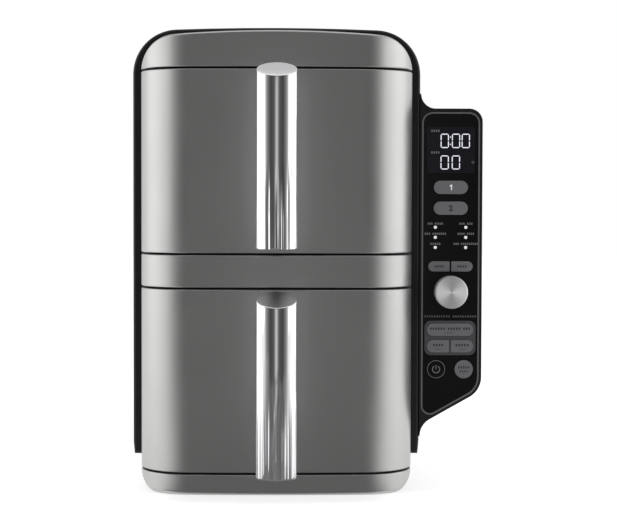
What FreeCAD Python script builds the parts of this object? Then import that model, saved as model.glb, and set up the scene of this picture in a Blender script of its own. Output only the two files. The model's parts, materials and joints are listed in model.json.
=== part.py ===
import FreeCAD, Part
import math
import os

# Air fryer with two stacked drawers and a control pod on its right side, in millimetres.
# Bench frame: x to the right, y from the front to the back, z up from the table.
# x = 0 is the middle plane of the body and y = 0 the foremost line of the drawer fronts.
# The pieces are written with the origin at the middle of the whole box, on the table.

V = FreeCAD.Vector
TINY = 1e-4

# Heights of the front, from the table up
FOOT_HEIGHT = 6.4
BASE_BAND = 16.8
SEAM = 1.5
DRAWER_HEIGHT = 147.0
MID_BAND = 26.0
TOP_BAND = 29.0
CASING_RISE = 6.8

# Outline of the metallic front
FRONT_WIDTH = 221.8
FRONT_BOW = 1200.0
FRONT_CORNER = 43.0
FRONT_DEPTH = 52.0
TOP_CROWN = 1100.0
TOP_CORNER = 30.0
BASE_CORNER = 19.0
BASE_ROUND = 4.0
FRONT_WALL = 2.5
EDGE_ROUND = 1.0
TOP_ROUND = 2.0

# Casing and rear cover
CASING_STEP = 7.5
CASING_CROWN = 2100.0
CASING_CORNER = 37.0
CASING_WALL = 3.0
CASING_SILL = 3.0
CASING_LIP = 2.5
CASING_ROUND = 2.4
CASING_TAPER = 1.2
CASING_TAPER_HEIGHT = 11.5
CASING_CLEARANCE = 0.4
REAR_WALL = 3.0
REAR_SPACE = 8.8
SPIGOT = 8.0
SPIGOT_WALL = 2.5
SPACER_DEPTH = 10.0
SPACER_WIDTH = 46.0
SPACER_HEIGHT = 14.0
SPACER_CORNER = 4.0
SPACER_SPREAD = 130.0
SPACER_INSET = 26.0

# Vents
VENT_SLOT = 4.0
VENT_PITCH = 8.0
VENT_LENGTH = 76.0
VENT_COUNT = 9
SIDE_VENT_LENGTH = 36.0
SIDE_VENT_COUNT = 9
SIDE_VENT_RISE = 34.0
SIDE_VENT_INSET = 30.0
FLOOR_VENT_LENGTH = 60.0
FLOOR_VENT_COUNT = 15
FLOOR_VENT_INSET = 70.0

# Base tray and feet
TRAY_FLOOR = 3.0
TRAY_SIDE = 14.0
TRAY_RAIL = 22.0
TRAY_RAIL_SEAT = 3.0
FOOT_RADIUS = 11.0
FOOT_PLUG = 4.0
FOOT_SPREAD = 172.0
FOOT_INSET = 22.0
FOOT_ROUND = 1.2
PLUG_CLEARANCE = 0.1

# Bulkhead, chamber liners and side frames
BULKHEAD = 3.0
LINER_SIDE_GAP = 6.9
LINER_RISE = 11.3
LINER_HEAD = 5.7
LINER_WALL = 1.2
LINER_FLANGE = 2.8
SKID_HEIGHT = 2.0
SKID_WIDTH = 5.0
SKID_SPREAD = 130.0
FRAME_SHEET = 1.2
FRAME_WINDOW = 70.0
FRAME_CORNER = 17.0
FRAME_TOP_GAP = 30.0

# Drawers
DRAWER_BACK_GAP = 1.0
SEAL_DEPTH = 3.5
SEAL_WIDTH = 3.2
SEAL_MARGIN = 0.6
SEAL_CORNER = 6.0
SEAL_GAP = 0.3
BACK_PLATE = 3.0
BACK_CLEARANCE = 0.1
BASKET_LENGTH = 232.0
BASKET_SIDE_GAP = 2.1
BASKET_HEAD = 21.4
BASKET_CORNER = 20.0
BASKET_FLOOR_ROUND = 10.0
BASKET_WALL = 1.5
BASKET_RIM = 2.2
SLIDE_CLEARANCE = 0.2
AIR_SLOT_WIDTH = 14.0
AIR_SLOT_HEIGHT = 46.0
AIR_SLOT_COUNT = 6
AIR_SLOT_PITCH = 24.0
AIR_SLOT_DROP = 12.0

# Handles
HANDLE_REACH = 70.0
HANDLE_WIDTH = 31.6
HANDLE_DEPTH = 24.5
HANDLE_SIDE_ROUND = 10.5
HANDLE_FOOT = 5.0
HANDLE_OVER = 2.0
HANDLE_DROP = 12.3
HANDLE_ROUND = 1.2
SPINE_WIDTH = 17.0
SPINE_DEPTH = 11.0
SPINE_MARGIN = 6.0
ARM_WIDTH = 14.0
ARM_HEIGHT = 14.0
ARM_MARGIN = 10.0
STUD_RADIUS = 4.0
STUD_CLEARANCE = 0.1

# Crisper plates and their silicone feet
PLATE_SHEET = 1.6
PLATE_GAP = 2.0
PLATE_LIFT = 13.0
PLATE_SLOT = 5.0
PLATE_BRIDGE = 8.0
PLATE_MARGIN = 14.0
PLATE_ROWS = 6
PLATE_COLUMNS = 7
PLATE_FOOT_RADIUS = 6.0
PLATE_FOOT_NECK = 2.5
PLATE_FOOT_HEAD = 4.5
PLATE_FOOT_RISE = 2.0
PLATE_FOOT_GAP = 0.1

# Hot air system of each drawer
GUARD_GAP = 3.3
GUARD_SHEET = 1.0
GUARD_MARGIN = 5.0
GUARD_SLOT = 5.0
GUARD_SLOT_START = 18.0
GUARD_BORDER = 7.0
GUARD_SPOKES = 18
GUARD_POST = 3.0
FAN_SPACE = 26.0
HEATER_TUBE = 6.5
HEATER_STEP = 4.5
HEATER_MARGIN = 3.0
HEATER_HALF_TURNS = 4
HEATER_BEND = 9.0
HEATER_FLANGE = 1.5
HEATER_FLANGE_MARGIN = 3.0
HEATER_LEG = 7.0
HEATER_CLEARANCE = 0.5
SHAFT_RADIUS = 3.0
RUNNING_CLEARANCE = 0.05
SHAFT_HOLE_CLEARANCE = 2.0
FAN_TIP_GAP = 2.8
FAN_HUB = 7.0
FAN_BLADES = 12
FAN_BLADE_SHEET = 1.0
FAN_BLADE_START = 13.0
FAN_DISC = 1.2
FAN_END_GAP = 3.0
MOTOR_RADIUS = 27.0
MOTOR_LENGTH = 34.0
MOTOR_STACK = 56.0
MOTOR_STACK_LENGTH = 16.0
MOTOR_STACK_CORNER = 8.0
MOTOR_POSTS = 3
MOTOR_POST_RADIUS = 4.0
MOTOR_POST_CIRCLE = 21.0
MOTOR_POST_LENGTH = 8.0
COOLING_RADIUS = 42.0
COOLING_HUB = 9.0
COOLING_BLADES = 7
COOLING_BLADE_SHEET = 1.2
COOLING_CHORD = 13.0
COOLING_ANGLE = 52.0
COOLING_LENGTH = 11.0
COOLING_GAP = 3.0

# Power board and cord gland
POWER_BOARD_WIDTH = 110.0
POWER_BOARD_LENGTH = 80.0
BOARD_SHEET = 1.6
POWER_POST = 6.0
POWER_POST_RADIUS = 3.5
POWER_POST_INSET = 8.0
POWER_BOARD_BACK = 60.0
RELAY_SIZE = 18.0
RELAY_HEIGHT = 12.0
CAPACITOR_RADIUS = 7.0
GLAND_RADIUS = 8.0
GLAND_FLANGE = 11.0
GLAND_FLANGE_DEPTH = 3.0
GLAND_LENGTH = 18.0
CORD_HOLE = 3.8
GLAND_CLEARANCE = 0.1
GLAND_SIDE = 72.0
GLAND_RISE = 32.0

# Control pod
POD_WIDTH = 51.8
POD_DEPTH = 36.0
POD_FIN = 14.0
POD_DROP = 65.8
POD_KNEE_GAP = 17.8
POD_SLOPE = 29.3
POD_TIP = 0.8
POD_TIP_ROUND = 0.6
POD_TOP_FILLET = 12.0
POD_TOP_CORNER = 11.0
POD_KNEE_ROUND = 19.0
POD_LOW_FILLET = 16.0
POD_BACK_ROUND = 6.0
POD_BACK_WALL = 2.5
FACE_LEFT = 1.6
FACE_RIGHT_INSET = 2.3
FACE_TOP_INSET = 3.1
FACE_SLOPE_INSET = 2.4
FACE_TOP_CORNER = 9.0
FACE_KNEE_ROUND = 17.0
FACE_LOW_CORNER = 7.5
FACE_RECESS = 0.2
FACE_SHEET = 2.0
TRIM_WIDTH = 1.2
TRIM_PROUD = 0.1
TRIM_CLEARANCE = 0.1
LEDGE = 2.5
BOARD_CLEARANCE = 1.0
BOARD_POST = 2.5
BOARD_POST_INSET = 6.0

# Controls on the pod's face, from its top down
DISPLAY_GAP = 11.9
DISPLAY_SIDE = 3.95
DISPLAY_HEIGHT = 38.2
DISPLAY_CORNER = 2.5
DISPLAY_LIP = 0.8
DISPLAY_LIP_DEPTH = 1.0
DISPLAY_MODULE_DEPTH = 6.0
DISPLAY_MODULE_INSET = 2.0
ZONE_GAP = 6.4
ZONE_SPACING = 6.2
ZONE_WIDTH = 28.2
ZONE_HEIGHT = 11.0
LAMP_GAP = 10.3
LAMP_RADIUS = 1.25
LAMP_CLEARANCE = 0.1
LAMP_PROUD = 0.1
LAMP_SPREAD = 25.2
LAMP_PITCH = 8.35
LAMP_ROWS = 3
SETTING_GAP = 11.5
SETTING_SIDE = 5.55
SETTING_HEIGHT = 8.4
SPLIT = 1.3
SPLIT_CORNER = 0.8
DIAL_SPACE = 1.0
DIAL_RADIUS = 13.4
DIAL_LENGTH = 13.0
DIAL_CHAMFER = 0.9
DIAL_STEM = 3.0
DIAL_HOLE_CLEARANCE = 1.0
DIAL_WELL_GAP = 2.4
DIAL_WELL_DEPTH = 0.6
ENCODER_SIZE = 12.0
ENCODER_HEIGHT = 6.0
ENCODER_BUSH = 4.4
ENCODER_FLOOR = 1.6
SURROUND_GAP = 8.3
SURROUND_SIDE = 2.75
SURROUND_SHEET = 0.8
SURROUND_CORNER = 5.4
GROUP_SIDE = 1.9
GROUP_MARGIN = 2.2
GROUP_HEIGHT = 10.5
GROUP_SPACING = 3.2
ROUND_GAP = 4.1
ROUND_RADIUS = 7.6
ROUND_SPREAD = 23.0
INSERT_CLEARANCE = 0.15
BUTTON_PROUD = 0.6
BUTTON_ROUND = 0.3
BUTTON_CLEARANCE = 0.2
BUTTON_LIP = 0.45
BUTTON_LIP_DEPTH = 1.0
BUTTON_LIP_GAP = 0.05
BUTTON_TRAVEL = 0.8
STEM_RADIUS = 2.0
STEM_LENGTH = 3.4
SWITCH_REST = 0.4
SWITCH_SIZE = 6.0
SWITCH_HEIGHT = 3.5

# Levels that follow from the heights
BASE_TOP = FOOT_HEIGHT + BASE_BAND
LOWER_ZONE = BASE_TOP + SEAM
MID_BOTTOM = LOWER_ZONE + DRAWER_HEIGHT + SEAM
MID_TOP = MID_BOTTOM + MID_BAND
UPPER_ZONE = MID_TOP + SEAM
TOP_BOTTOM = UPPER_ZONE + DRAWER_HEIGHT + SEAM
FRONT_TOP = TOP_BOTTOM + TOP_BAND
CASING_TOP = FRONT_TOP + CASING_RISE
CASING_BOTTOM = LOWER_ZONE + LINER_RISE - CASING_SILL
TRAY_TOP = FOOT_HEIGHT + TRAY_FLOOR
RAIL_TOP = CASING_BOTTOM + TRAY_RAIL
GLAND_LEVEL = RAIL_TOP + GLAND_RISE
ZONES = {"upper": UPPER_ZONE, "lower": LOWER_ZONE}

# Widths that follow from the front
CASING_WIDTH = FRONT_WIDTH + 2 * CASING_STEP
LINER_WIDTH = FRONT_WIDTH - 2 * LINER_SIDE_GAP
MOUTH_HALF = LINER_WIDTH / 2 - LINER_WALL
BASKET_WIDTH = 2 * (MOUTH_HALF - BASKET_SIDE_GAP - BASKET_RIM)

# Levels within a drawer's zone, above the lower edge of the drawer front
LINER_HEIGHT = DRAWER_HEIGHT - LINER_RISE - LINER_HEAD
MOUTH_LOW = LINER_RISE + LINER_WALL
MOUTH_HIGH = LINER_RISE + LINER_HEIGHT - LINER_WALL
AXIS_RISE = LINER_RISE + LINER_HEIGHT / 2
BASKET_RISE = MOUTH_LOW + SKID_HEIGHT + SLIDE_CLEARANCE
BASKET_HEIGHT = MOUTH_HIGH - BASKET_HEAD - BASKET_RISE
BASKET_FLOOR = BASKET_RISE + BASKET_WALL
PLATE_RISE = BASKET_FLOOR + PLATE_FOOT_GAP + PLATE_LIFT
HANDLE_TOP = DRAWER_HEIGHT + HANDLE_OVER
HANDLE_SHORT_TOP = HANDLE_TOP - HANDLE_DROP
ARM_LEVELS = (HANDLE_FOOT + ARM_MARGIN + ARM_HEIGHT / 2, HANDLE_SHORT_TOP - ARM_MARGIN - ARM_HEIGHT / 2)

# Depths that follow from the stack of pieces, front to back
HANDLE_BACK = HANDLE_DEPTH - HANDLE_REACH
BULKHEAD_FRONT = FRONT_DEPTH + CASING_LIP
BULKHEAD_BACK = BULKHEAD_FRONT + BULKHEAD
DRAWER_BACK = BULKHEAD_FRONT - DRAWER_BACK_GAP
SEAL_FRONT = BULKHEAD_FRONT - SEAL_GAP - SEAL_DEPTH
BASKET_BACK = SEAL_FRONT + BASKET_LENGTH
GUARD_FRONT = BASKET_BACK + BASKET_RIM + GUARD_GAP
FAN_FRONT = GUARD_FRONT + GUARD_SHEET
LINER_END = FAN_FRONT + FAN_SPACE
LINER_BACK = LINER_END + LINER_WALL
MOTOR_FRONT = LINER_BACK + MOTOR_POST_LENGTH
MOTOR_BACK = MOTOR_FRONT + MOTOR_LENGTH
COOLING_FRONT = MOTOR_BACK + COOLING_GAP
COOLING_BACK = COOLING_FRONT + COOLING_LENGTH
SPIGOT_FRONT = COOLING_BACK + REAR_SPACE
CASING_BACK = SPIGOT_FRONT + SPIGOT
REAR_FACE = CASING_BACK + REAR_WALL
REAR_END = REAR_FACE + SPACER_DEPTH

# Radii of the hot air system that follow from the chamber
HEATER_OUTER = LINER_HEIGHT / 2 - LINER_WALL - HEATER_MARGIN - HEATER_TUBE / 2
HEATER_START = HEATER_OUTER - HEATER_STEP * (HEATER_HALF_TURNS - 1)
FAN_RADIUS = HEATER_START - HEATER_TUBE / 2 - FAN_TIP_GAP
GUARD_SLOT_END = LINER_HEIGHT / 2 - LINER_WALL - GUARD_MARGIN - GUARD_BORDER

# Places on the pod
POD_LEFT = CASING_WIDTH / 2
POD_RIGHT = POD_LEFT + POD_WIDTH
POD_TOP = CASING_TOP - POD_DROP
POD_RISE = math.tan(math.radians(POD_SLOPE))
FACE_X0 = POD_LEFT + FACE_LEFT
FACE_X1 = POD_RIGHT - FACE_RIGHT_INSET
FACE_WIDTH = FACE_X1 - FACE_X0
FACE_MIDDLE = (FACE_X0 + FACE_X1) / 2
FACE_TOP = POD_TOP - FACE_TOP_INSET
FACE_FRONT = FRONT_DEPTH + FACE_RECESS
FACE_BACK = FACE_FRONT + FACE_SHEET
STEM_END = FACE_BACK + BUTTON_LIP_GAP + BUTTON_LIP_DEPTH + STEM_LENGTH
SWITCH_FRONT = STEM_END + BUTTON_TRAVEL + SWITCH_REST
CONTROL_BOARD_FRONT = SWITCH_FRONT + SWITCH_HEIGHT
CONTROL_BOARD_BACK = CONTROL_BOARD_FRONT + BOARD_SHEET
POD_BACK = FRONT_DEPTH + POD_DEPTH
POD_CAVITY_BACK = POD_BACK - POD_BACK_WALL
DIAL_FRONT = FACE_FRONT - DIAL_LENGTH
DIAL_BACK = FACE_FRONT
DIAL_STEM_END = CONTROL_BOARD_FRONT - ENCODER_FLOOR

# Levels of the controls
DISPLAY_WIDTH = FACE_WIDTH - 2 * DISPLAY_SIDE
DISPLAY_LEVEL = FACE_TOP - DISPLAY_GAP - DISPLAY_HEIGHT / 2
ZONE_1_LEVEL = DISPLAY_LEVEL - DISPLAY_HEIGHT / 2 - ZONE_GAP - ZONE_HEIGHT / 2
ZONE_2_LEVEL = ZONE_1_LEVEL - ZONE_HEIGHT - ZONE_SPACING
LAMP_LEVEL = ZONE_2_LEVEL - ZONE_HEIGHT / 2 - LAMP_GAP
SETTING_WIDTH = FACE_WIDTH - 2 * SETTING_SIDE
SETTING_LEVEL = LAMP_LEVEL - LAMP_PITCH * (LAMP_ROWS - 1) - SETTING_GAP - SETTING_HEIGHT / 2
DIAL_WELL = DIAL_RADIUS + DIAL_WELL_GAP
DIAL_LEVEL = SETTING_LEVEL - SETTING_HEIGHT / 2 - DIAL_SPACE - DIAL_WELL
SURROUND_WIDTH = FACE_WIDTH - 2 * SURROUND_SIDE
SURROUND_HEIGHT = 2 * (GROUP_MARGIN + GROUP_HEIGHT) + GROUP_SPACING
SURROUND_LEVEL = DIAL_LEVEL - DIAL_WELL - SURROUND_GAP - SURROUND_HEIGHT / 2
GROUP_WIDTH = SURROUND_WIDTH - 2 * GROUP_SIDE
GROUP_SHIFT = (GROUP_HEIGHT + GROUP_SPACING) / 2
ROUND_LEVEL = SURROUND_LEVEL - SURROUND_HEIGHT / 2 - ROUND_GAP - ROUND_RADIUS
POD_KNEE = ROUND_LEVEL - POD_KNEE_GAP
SLOPE_SECANT = 1 / math.cos(math.radians(POD_SLOPE))
FACE_KNEE = POD_KNEE - FACE_RIGHT_INSET * POD_RISE + FACE_SLOPE_INSET * SLOPE_SECANT

# Shift from the bench frame to the middle of the whole box
MIDDLE = V((POD_RIGHT - POD_LEFT) / 2, (REAR_END - HANDLE_REACH) / 2, 0)


def front_view(y):
    """Places an outline drawn as (x, z) on the upright plane at this depth."""
    return lambda p: V(p.x, y, p.y)


def plan_view(z):
    """Places an outline drawn as (x, y) on the level plane at this height."""
    return lambda p: V(p.x, p.y, z)


def side_view(x):
    """Places an outline drawn as (y, z) on the upright plane at this x."""
    return lambda p: V(x, p.x, p.y)


def line(start, end):
    return Part.LineSegment(start, end).toShape()


def arc(start, middle, end):
    return Part.Arc(start, middle, end).toShape()


def rounded_face(corners, place):
    """Face inside a polygon of (u, v, radius) corners, each corner rounded by its radius."""
    spots = []
    for index, (u, v, radius) in enumerate(corners):
        here = V(u, v, 0)
        back = (V(*corners[index - 1][:2], 0) - here).normalize()
        ahead = (V(*corners[(index + 1) % len(corners)][:2], 0) - here).normalize()
        half_angle = back.getAngle(ahead) / 2
        reach = radius / math.tan(half_angle)
        bulge = radius / math.sin(half_angle) - radius
        middle = here + (back + ahead).normalize() * bulge
        spots.append((here + back * reach, middle, here + ahead * reach, radius))
    edges = []
    for index, (start, middle, end, radius) in enumerate(spots):
        if radius > 0:
            edges.append(arc(place(start), place(middle), place(end)))
        following = spots[(index + 1) % len(spots)][0]
        if end.distanceToPoint(following) > TINY:
            edges.append(line(place(end), place(following)))
    return Part.Face(Part.Wire(edges))


def rounded_rectangle(u, v, width, height, radius, place):
    """Face of a rectangle round the point (u, v), with equal corner radii."""
    left, right = u - width / 2, u + width / 2
    low, high = v - height / 2, v + height / 2
    corners = [(left, low), (right, low), (right, high), (left, high)]
    return rounded_face([(a, b, radius) for a, b in corners], place)


def dome_face(half, apex, base, crown, corner, place):
    """Face with a straight base and sides, and a crowned far end with rounded corners."""
    side = 1 if apex > base else -1
    crown_middle = apex - side * crown
    reach = crown - corner
    inset = half - corner
    corner_middle = crown_middle + side * math.sqrt(reach ** 2 - inset ** 2)
    lean = V(inset, corner_middle - crown_middle, 0) / reach
    touch = V(0, crown_middle, 0) + lean * crown
    bulge = V(inset, corner_middle, 0) + (lean + V(1, 0, 0)).normalize() * corner
    shoulder = V(half, corner_middle, 0)
    foot = V(half, base, 0)
    mirrored = [V(-p.x, p.y, 0) for p in (foot, shoulder, bulge, touch)]
    foot_2, shoulder_2, bulge_2, touch_2 = [place(p) for p in mirrored]
    edges = [
        line(foot_2, shoulder_2),
        arc(shoulder_2, bulge_2, touch_2),
        arc(touch_2, place(V(0, apex, 0)), place(touch)),
        arc(place(touch), place(bulge), place(shoulder)),
        line(place(shoulder), place(foot)),
        line(place(foot), foot_2),
    ]
    return Part.Face(Part.Wire(edges))


def along_x(face, length):
    return face.extrude(V(length, 0, 0))


def along_y(face, length):
    return face.extrude(V(0, length, 0))


def along_z(face, length):
    return face.extrude(V(0, 0, length))


def box(x0, x1, y0, y1, z0, z1):
    return Part.makeBox(x1 - x0, y1 - y0, z1 - z0, V(x0, y0, z0))


def rod(radius, x, z, front, back):
    """Round bar along y."""
    return Part.makeCylinder(radius, back - front, V(x, front, z), V(0, 1, 0))


def post(radius, x, y, low, high):
    """Round bar along z."""
    return Part.makeCylinder(radius, high - low, V(x, y, low), V(0, 0, 1))


def merged(first, others):
    return first.fuse(others).removeSplitter()


def edges_where(shape, test):
    """Edges whose ends and middle all pass the test."""
    found = []
    for edge in shape.Edges:
        middle = edge.valueAt((edge.FirstParameter + edge.LastParameter) / 2)
        spots = [vertex.Point for vertex in edge.Vertexes] + [middle]
        if all(test(spot) for spot in spots):
            found.append(edge)
    return found


def rounded_at_level(shape, level, radius):
    """Rounds every edge that lies at this height."""
    return shape.makeFillet(radius, edges_where(shape, lambda p: abs(p.z - level) < TINY))


def rounded_at_depth(shape, depth, radius):
    """Rounds every edge that lies at this depth."""
    return shape.makeFillet(radius, edges_where(shape, lambda p: abs(p.y - depth) < TINY))


def front_prism(inset, low, high, back):
    """Upright block with the bowed plan of the front, drawn in by inset."""
    half = FRONT_WIDTH / 2 - inset
    plan = dome_face(half, inset, back, FRONT_BOW - inset, FRONT_CORNER - inset, plan_view(low))
    return along_z(plan, high - low)


def crown_prism(grow, front, back):
    """Block with the front view of the metallic front, grown by this much."""
    half = FRONT_WIDTH / 2 + grow
    outline = dome_face(half, FRONT_TOP + grow, 0, TOP_CROWN + grow, TOP_CORNER + grow, front_view(front))
    return along_y(outline, back - front)


def casing_prism(inset, front, back):
    """Block with the front view of the casing, drawn in by inset."""
    half = CASING_WIDTH / 2 - inset
    crown, corner = CASING_CROWN - inset, CASING_CORNER - inset
    outline = dome_face(half, CASING_TOP - inset, CASING_BOTTOM, crown, corner, front_view(front))
    return along_y(outline, back - front)


def base_prism(inset, front, back):
    """Block with the front view of the base, with its rounded lower corners."""
    half = FRONT_WIDTH / 2 - inset
    low, high = FOOT_HEIGHT + inset, MID_BOTTOM
    radius = BASE_CORNER - inset
    corners = [(-half, low, radius), (half, low, radius), (half, high, 0), (-half, high, 0)]
    return along_y(rounded_face(corners, front_view(front)), back - front)


def top_band():
    """Crowned band above the upper drawer: a shell open at the back."""
    block = front_prism(0, TOP_BOTTOM, CASING_TOP, BULKHEAD_FRONT)
    outer = block.common(crown_prism(0, 0, BULKHEAD_FRONT))
    # The rim where bow and crown meet has the only edges that are neither straight nor round
    rim = [edge for edge in outer.Edges if not isinstance(edge.Curve, (Part.Line, Part.Circle))]
    outer = outer.makeFillet(TOP_ROUND, rim)
    outer = outer.common(rounded_at_level(block, TOP_BOTTOM, EDGE_ROUND))
    inner = front_prism(FRONT_WALL, TOP_BOTTOM + FRONT_WALL, CASING_TOP, BULKHEAD_FRONT)
    return outer.cut(inner.common(crown_prism(-FRONT_WALL, 0, BULKHEAD_FRONT)))


def band(low, high, back):
    """Bowed band of the front between two levels: a shell open at the back."""
    outer = front_prism(0, low, high, back)
    outer = rounded_at_level(outer, low, EDGE_ROUND)
    outer = rounded_at_level(outer, high, EDGE_ROUND)
    return outer.cut(front_prism(FRONT_WALL, low + FRONT_WALL, high - FRONT_WALL, back))


def base_band():
    """Lowest band, rounded in towards the table: a shell open at the back."""
    outer = front_prism(0, FOOT_HEIGHT, BASE_TOP, BULKHEAD_FRONT)
    outer = rounded_at_level(outer, FOOT_HEIGHT, BASE_ROUND)
    outer = rounded_at_level(outer, BASE_TOP, EDGE_ROUND)
    inner = front_prism(FRONT_WALL, FOOT_HEIGHT + FRONT_WALL, BASE_TOP - FRONT_WALL, BULKHEAD_FRONT)
    outer = outer.common(base_prism(0, 0, BULKHEAD_FRONT))
    return outer.cut(inner.common(base_prism(FRONT_WALL, 0, BULKHEAD_FRONT)))


def slot_row(count, pitch, middle, cutter):
    """Copies of a cutter, moved along z, evenly about the middle level."""
    first = middle - pitch * (count - 1) / 2
    return [cutter.translated(V(0, 0, first + pitch * index)) for index in range(count)]


def outer_casing():
    """Arched cover over the top and both sides, with a lip round the front and side air slots."""
    half = CASING_WIDTH / 2
    outer = rounded_at_depth(casing_prism(0, FRONT_DEPTH, CASING_BACK), FRONT_DEPTH, CASING_ROUND)
    shell = outer.cut(casing_prism(CASING_WALL, BULKHEAD_FRONT, CASING_BACK))
    cuts = [crown_prism(CASING_CLEARANCE, FRONT_DEPTH, BULKHEAD_FRONT)]
    taper_top = CASING_BOTTOM + CASING_TAPER_HEIGHT
    for side in (-1, 1):
        corners = [(side * half, taper_top, 0), (side * (half - CASING_TAPER), CASING_BOTTOM, 0),
                   (side * half, CASING_BOTTOM, 0)]
        cuts.append(along_y(rounded_face(corners, front_view(FRONT_DEPTH)), CASING_BACK - FRONT_DEPTH))
    for index in range(SIDE_VENT_COUNT):
        y = CASING_BACK - SIDE_VENT_INSET - VENT_PITCH * index
        z = RAIL_TOP + SIDE_VENT_RISE
        outline = rounded_rectangle(y, z, VENT_SLOT, SIDE_VENT_LENGTH, VENT_SLOT / 2, side_view(-half))
        cuts.append(along_x(outline, CASING_WIDTH))
    return shell.cut(cuts)


def rear_cover():
    """Back panel with an exhaust grille behind each fan, a spigot into the casing and wall spacers."""
    panel = casing_prism(0, CASING_BACK, REAR_FACE)
    fit = CASING_WALL + CASING_CLEARANCE
    spigot = casing_prism(fit, SPIGOT_FRONT, CASING_BACK)
    spigot = spigot.cut(casing_prism(fit + SPIGOT_WALL, SPIGOT_FRONT, CASING_BACK))
    over_rails = box(-CASING_WIDTH, CASING_WIDTH, SPIGOT_FRONT, CASING_BACK, RAIL_TOP, CASING_TOP)
    pads = []
    for x in (-SPACER_SPREAD / 2, SPACER_SPREAD / 2):
        for z in (CASING_BOTTOM + SPACER_INSET, CASING_TOP - SPACER_INSET):
            pad = rounded_rectangle(x, z, SPACER_WIDTH, SPACER_HEIGHT, SPACER_CORNER, front_view(REAR_FACE))
            pads.append(along_y(pad, SPACER_DEPTH))
    cover = merged(panel, [spigot.common(over_rails)] + pads)
    hole = GLAND_RADIUS + GLAND_CLEARANCE
    cuts = [rod(hole, -GLAND_SIDE, GLAND_LEVEL, SPIGOT_FRONT, REAR_END)]
    slot = rounded_rectangle(0, 0, VENT_LENGTH, VENT_SLOT, VENT_SLOT / 2, front_view(CASING_BACK))
    slot = along_y(slot, REAR_WALL)
    for level in ZONES.values():
        cuts += slot_row(VENT_COUNT, VENT_PITCH, level + AXIS_RISE, slot)
    return cover.cut(cuts)


def cord_gland():
    """Round gland through the rear cover, with the hole for the cord."""
    flange_back = REAR_FACE + GLAND_FLANGE_DEPTH
    gland = rod(GLAND_RADIUS, -GLAND_SIDE, GLAND_LEVEL, flange_back - GLAND_LENGTH, REAR_FACE)
    flange = rod(GLAND_FLANGE, -GLAND_SIDE, GLAND_LEVEL, REAR_FACE, flange_back)
    gland = merged(gland, [flange])
    return gland.cut(rod(CORD_HOLE, -GLAND_SIDE, GLAND_LEVEL, flange_back - GLAND_LENGTH, flange_back))


def foot_places():
    """Middles of the four feet, as (x, y)."""
    front = BULKHEAD_BACK + FOOT_INSET
    back = REAR_FACE - FOOT_INSET
    return [(side * FOOT_SPREAD / 2, y) for y in (front, back) for side in (-1, 1)]


def power_board_places():
    """Middles of the posts under the power board, as (x, y)."""
    back = CASING_BACK - POWER_BOARD_BACK
    depths = (back - POWER_BOARD_LENGTH + POWER_POST_INSET, back - POWER_POST_INSET)
    reach = POWER_BOARD_WIDTH / 2 - POWER_POST_INSET
    return [(x, y) for x in (-reach, reach) for y in depths]


def base_tray():
    """Floor of the body, with rails that the casing's sides close against."""
    under_casing = box(-CASING_WIDTH, CASING_WIDTH, BULKHEAD_FRONT, REAR_FACE, 0, CASING_BOTTOM)
    tray = base_prism(0, BULKHEAD_FRONT, REAR_FACE).common(under_casing)
    inside = FRONT_WIDTH / 2 - TRAY_SIDE
    tray = tray.cut(box(-inside, inside, BULKHEAD_BACK, CASING_BACK, TRAY_TOP, CASING_BOTTOM))
    rail_inner = FRONT_WIDTH / 2 - TRAY_RAIL_SEAT
    rail_outer = CASING_WIDTH / 2 - CASING_WALL
    added = []
    for side in (-1, 1):
        x0, x1 = sorted((side * rail_inner, side * rail_outer))
        added.append(box(x0, x1, BULKHEAD_BACK, CASING_BACK, CASING_BOTTOM, RAIL_TOP))
    for x, y in power_board_places():
        added.append(post(POWER_POST_RADIUS, x, y, TRAY_TOP, TRAY_TOP + POWER_POST))
    tray = merged(tray, added)
    cuts = [post(FOOT_PLUG + PLUG_CLEARANCE, x, y, 0, TRAY_TOP) for x, y in foot_places()]
    for index in range(FLOOR_VENT_COUNT):
        x = VENT_PITCH * (index - (FLOOR_VENT_COUNT - 1) / 2)
        y = BULKHEAD_BACK + FLOOR_VENT_INSET
        outline = rounded_rectangle(x, y, VENT_SLOT, FLOOR_VENT_LENGTH, VENT_SLOT / 2, plan_view(0))
        cuts.append(along_z(outline, TRAY_TOP))
    return tray.cut(cuts)


def feet():
    """Four rubber feet, each with a plug through the floor of the tray."""
    group = []
    for x, y in foot_places():
        pad = rounded_at_level(post(FOOT_RADIUS, x, y, 0, FOOT_HEIGHT), 0, FOOT_ROUND)
        group.append(merged(pad, [post(FOOT_PLUG, x, y, FOOT_HEIGHT, TRAY_TOP)]))
    return Part.makeCompound(group)


def power_board():
    """Circuit board on the tray's posts, with two relays and a capacitor."""
    half = POWER_BOARD_WIDTH / 2
    back = CASING_BACK - POWER_BOARD_BACK
    low = TRAY_TOP + POWER_POST
    high = low + BOARD_SHEET
    board = box(-half, half, back - POWER_BOARD_LENGTH, back, low, high)
    added = []
    for x in (-RELAY_SIZE, RELAY_SIZE):
        y = back - RELAY_SIZE
        added.append(box(x - RELAY_SIZE / 2, x + RELAY_SIZE / 2, y - RELAY_SIZE / 2, y + RELAY_SIZE / 2,
                         high, high + RELAY_HEIGHT))
    front = back - POWER_BOARD_LENGTH
    added.append(post(CAPACITOR_RADIUS, 0, front + RELAY_SIZE, high, high + RELAY_HEIGHT))
    return merged(board, added)


def front_bulkhead():
    """Upright plate behind the front bands, with a mouth for each drawer."""
    fit = CASING_WALL + CASING_CLEARANCE
    plate = casing_prism(fit, BULKHEAD_FRONT, BULKHEAD_BACK)
    mouths = []
    for level in ZONES.values():
        mouths.append(box(-MOUTH_HALF, MOUTH_HALF, BULKHEAD_FRONT, BULKHEAD_BACK,
                          level + MOUTH_LOW, level + MOUTH_HIGH))
    return plate.cut(mouths)


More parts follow.
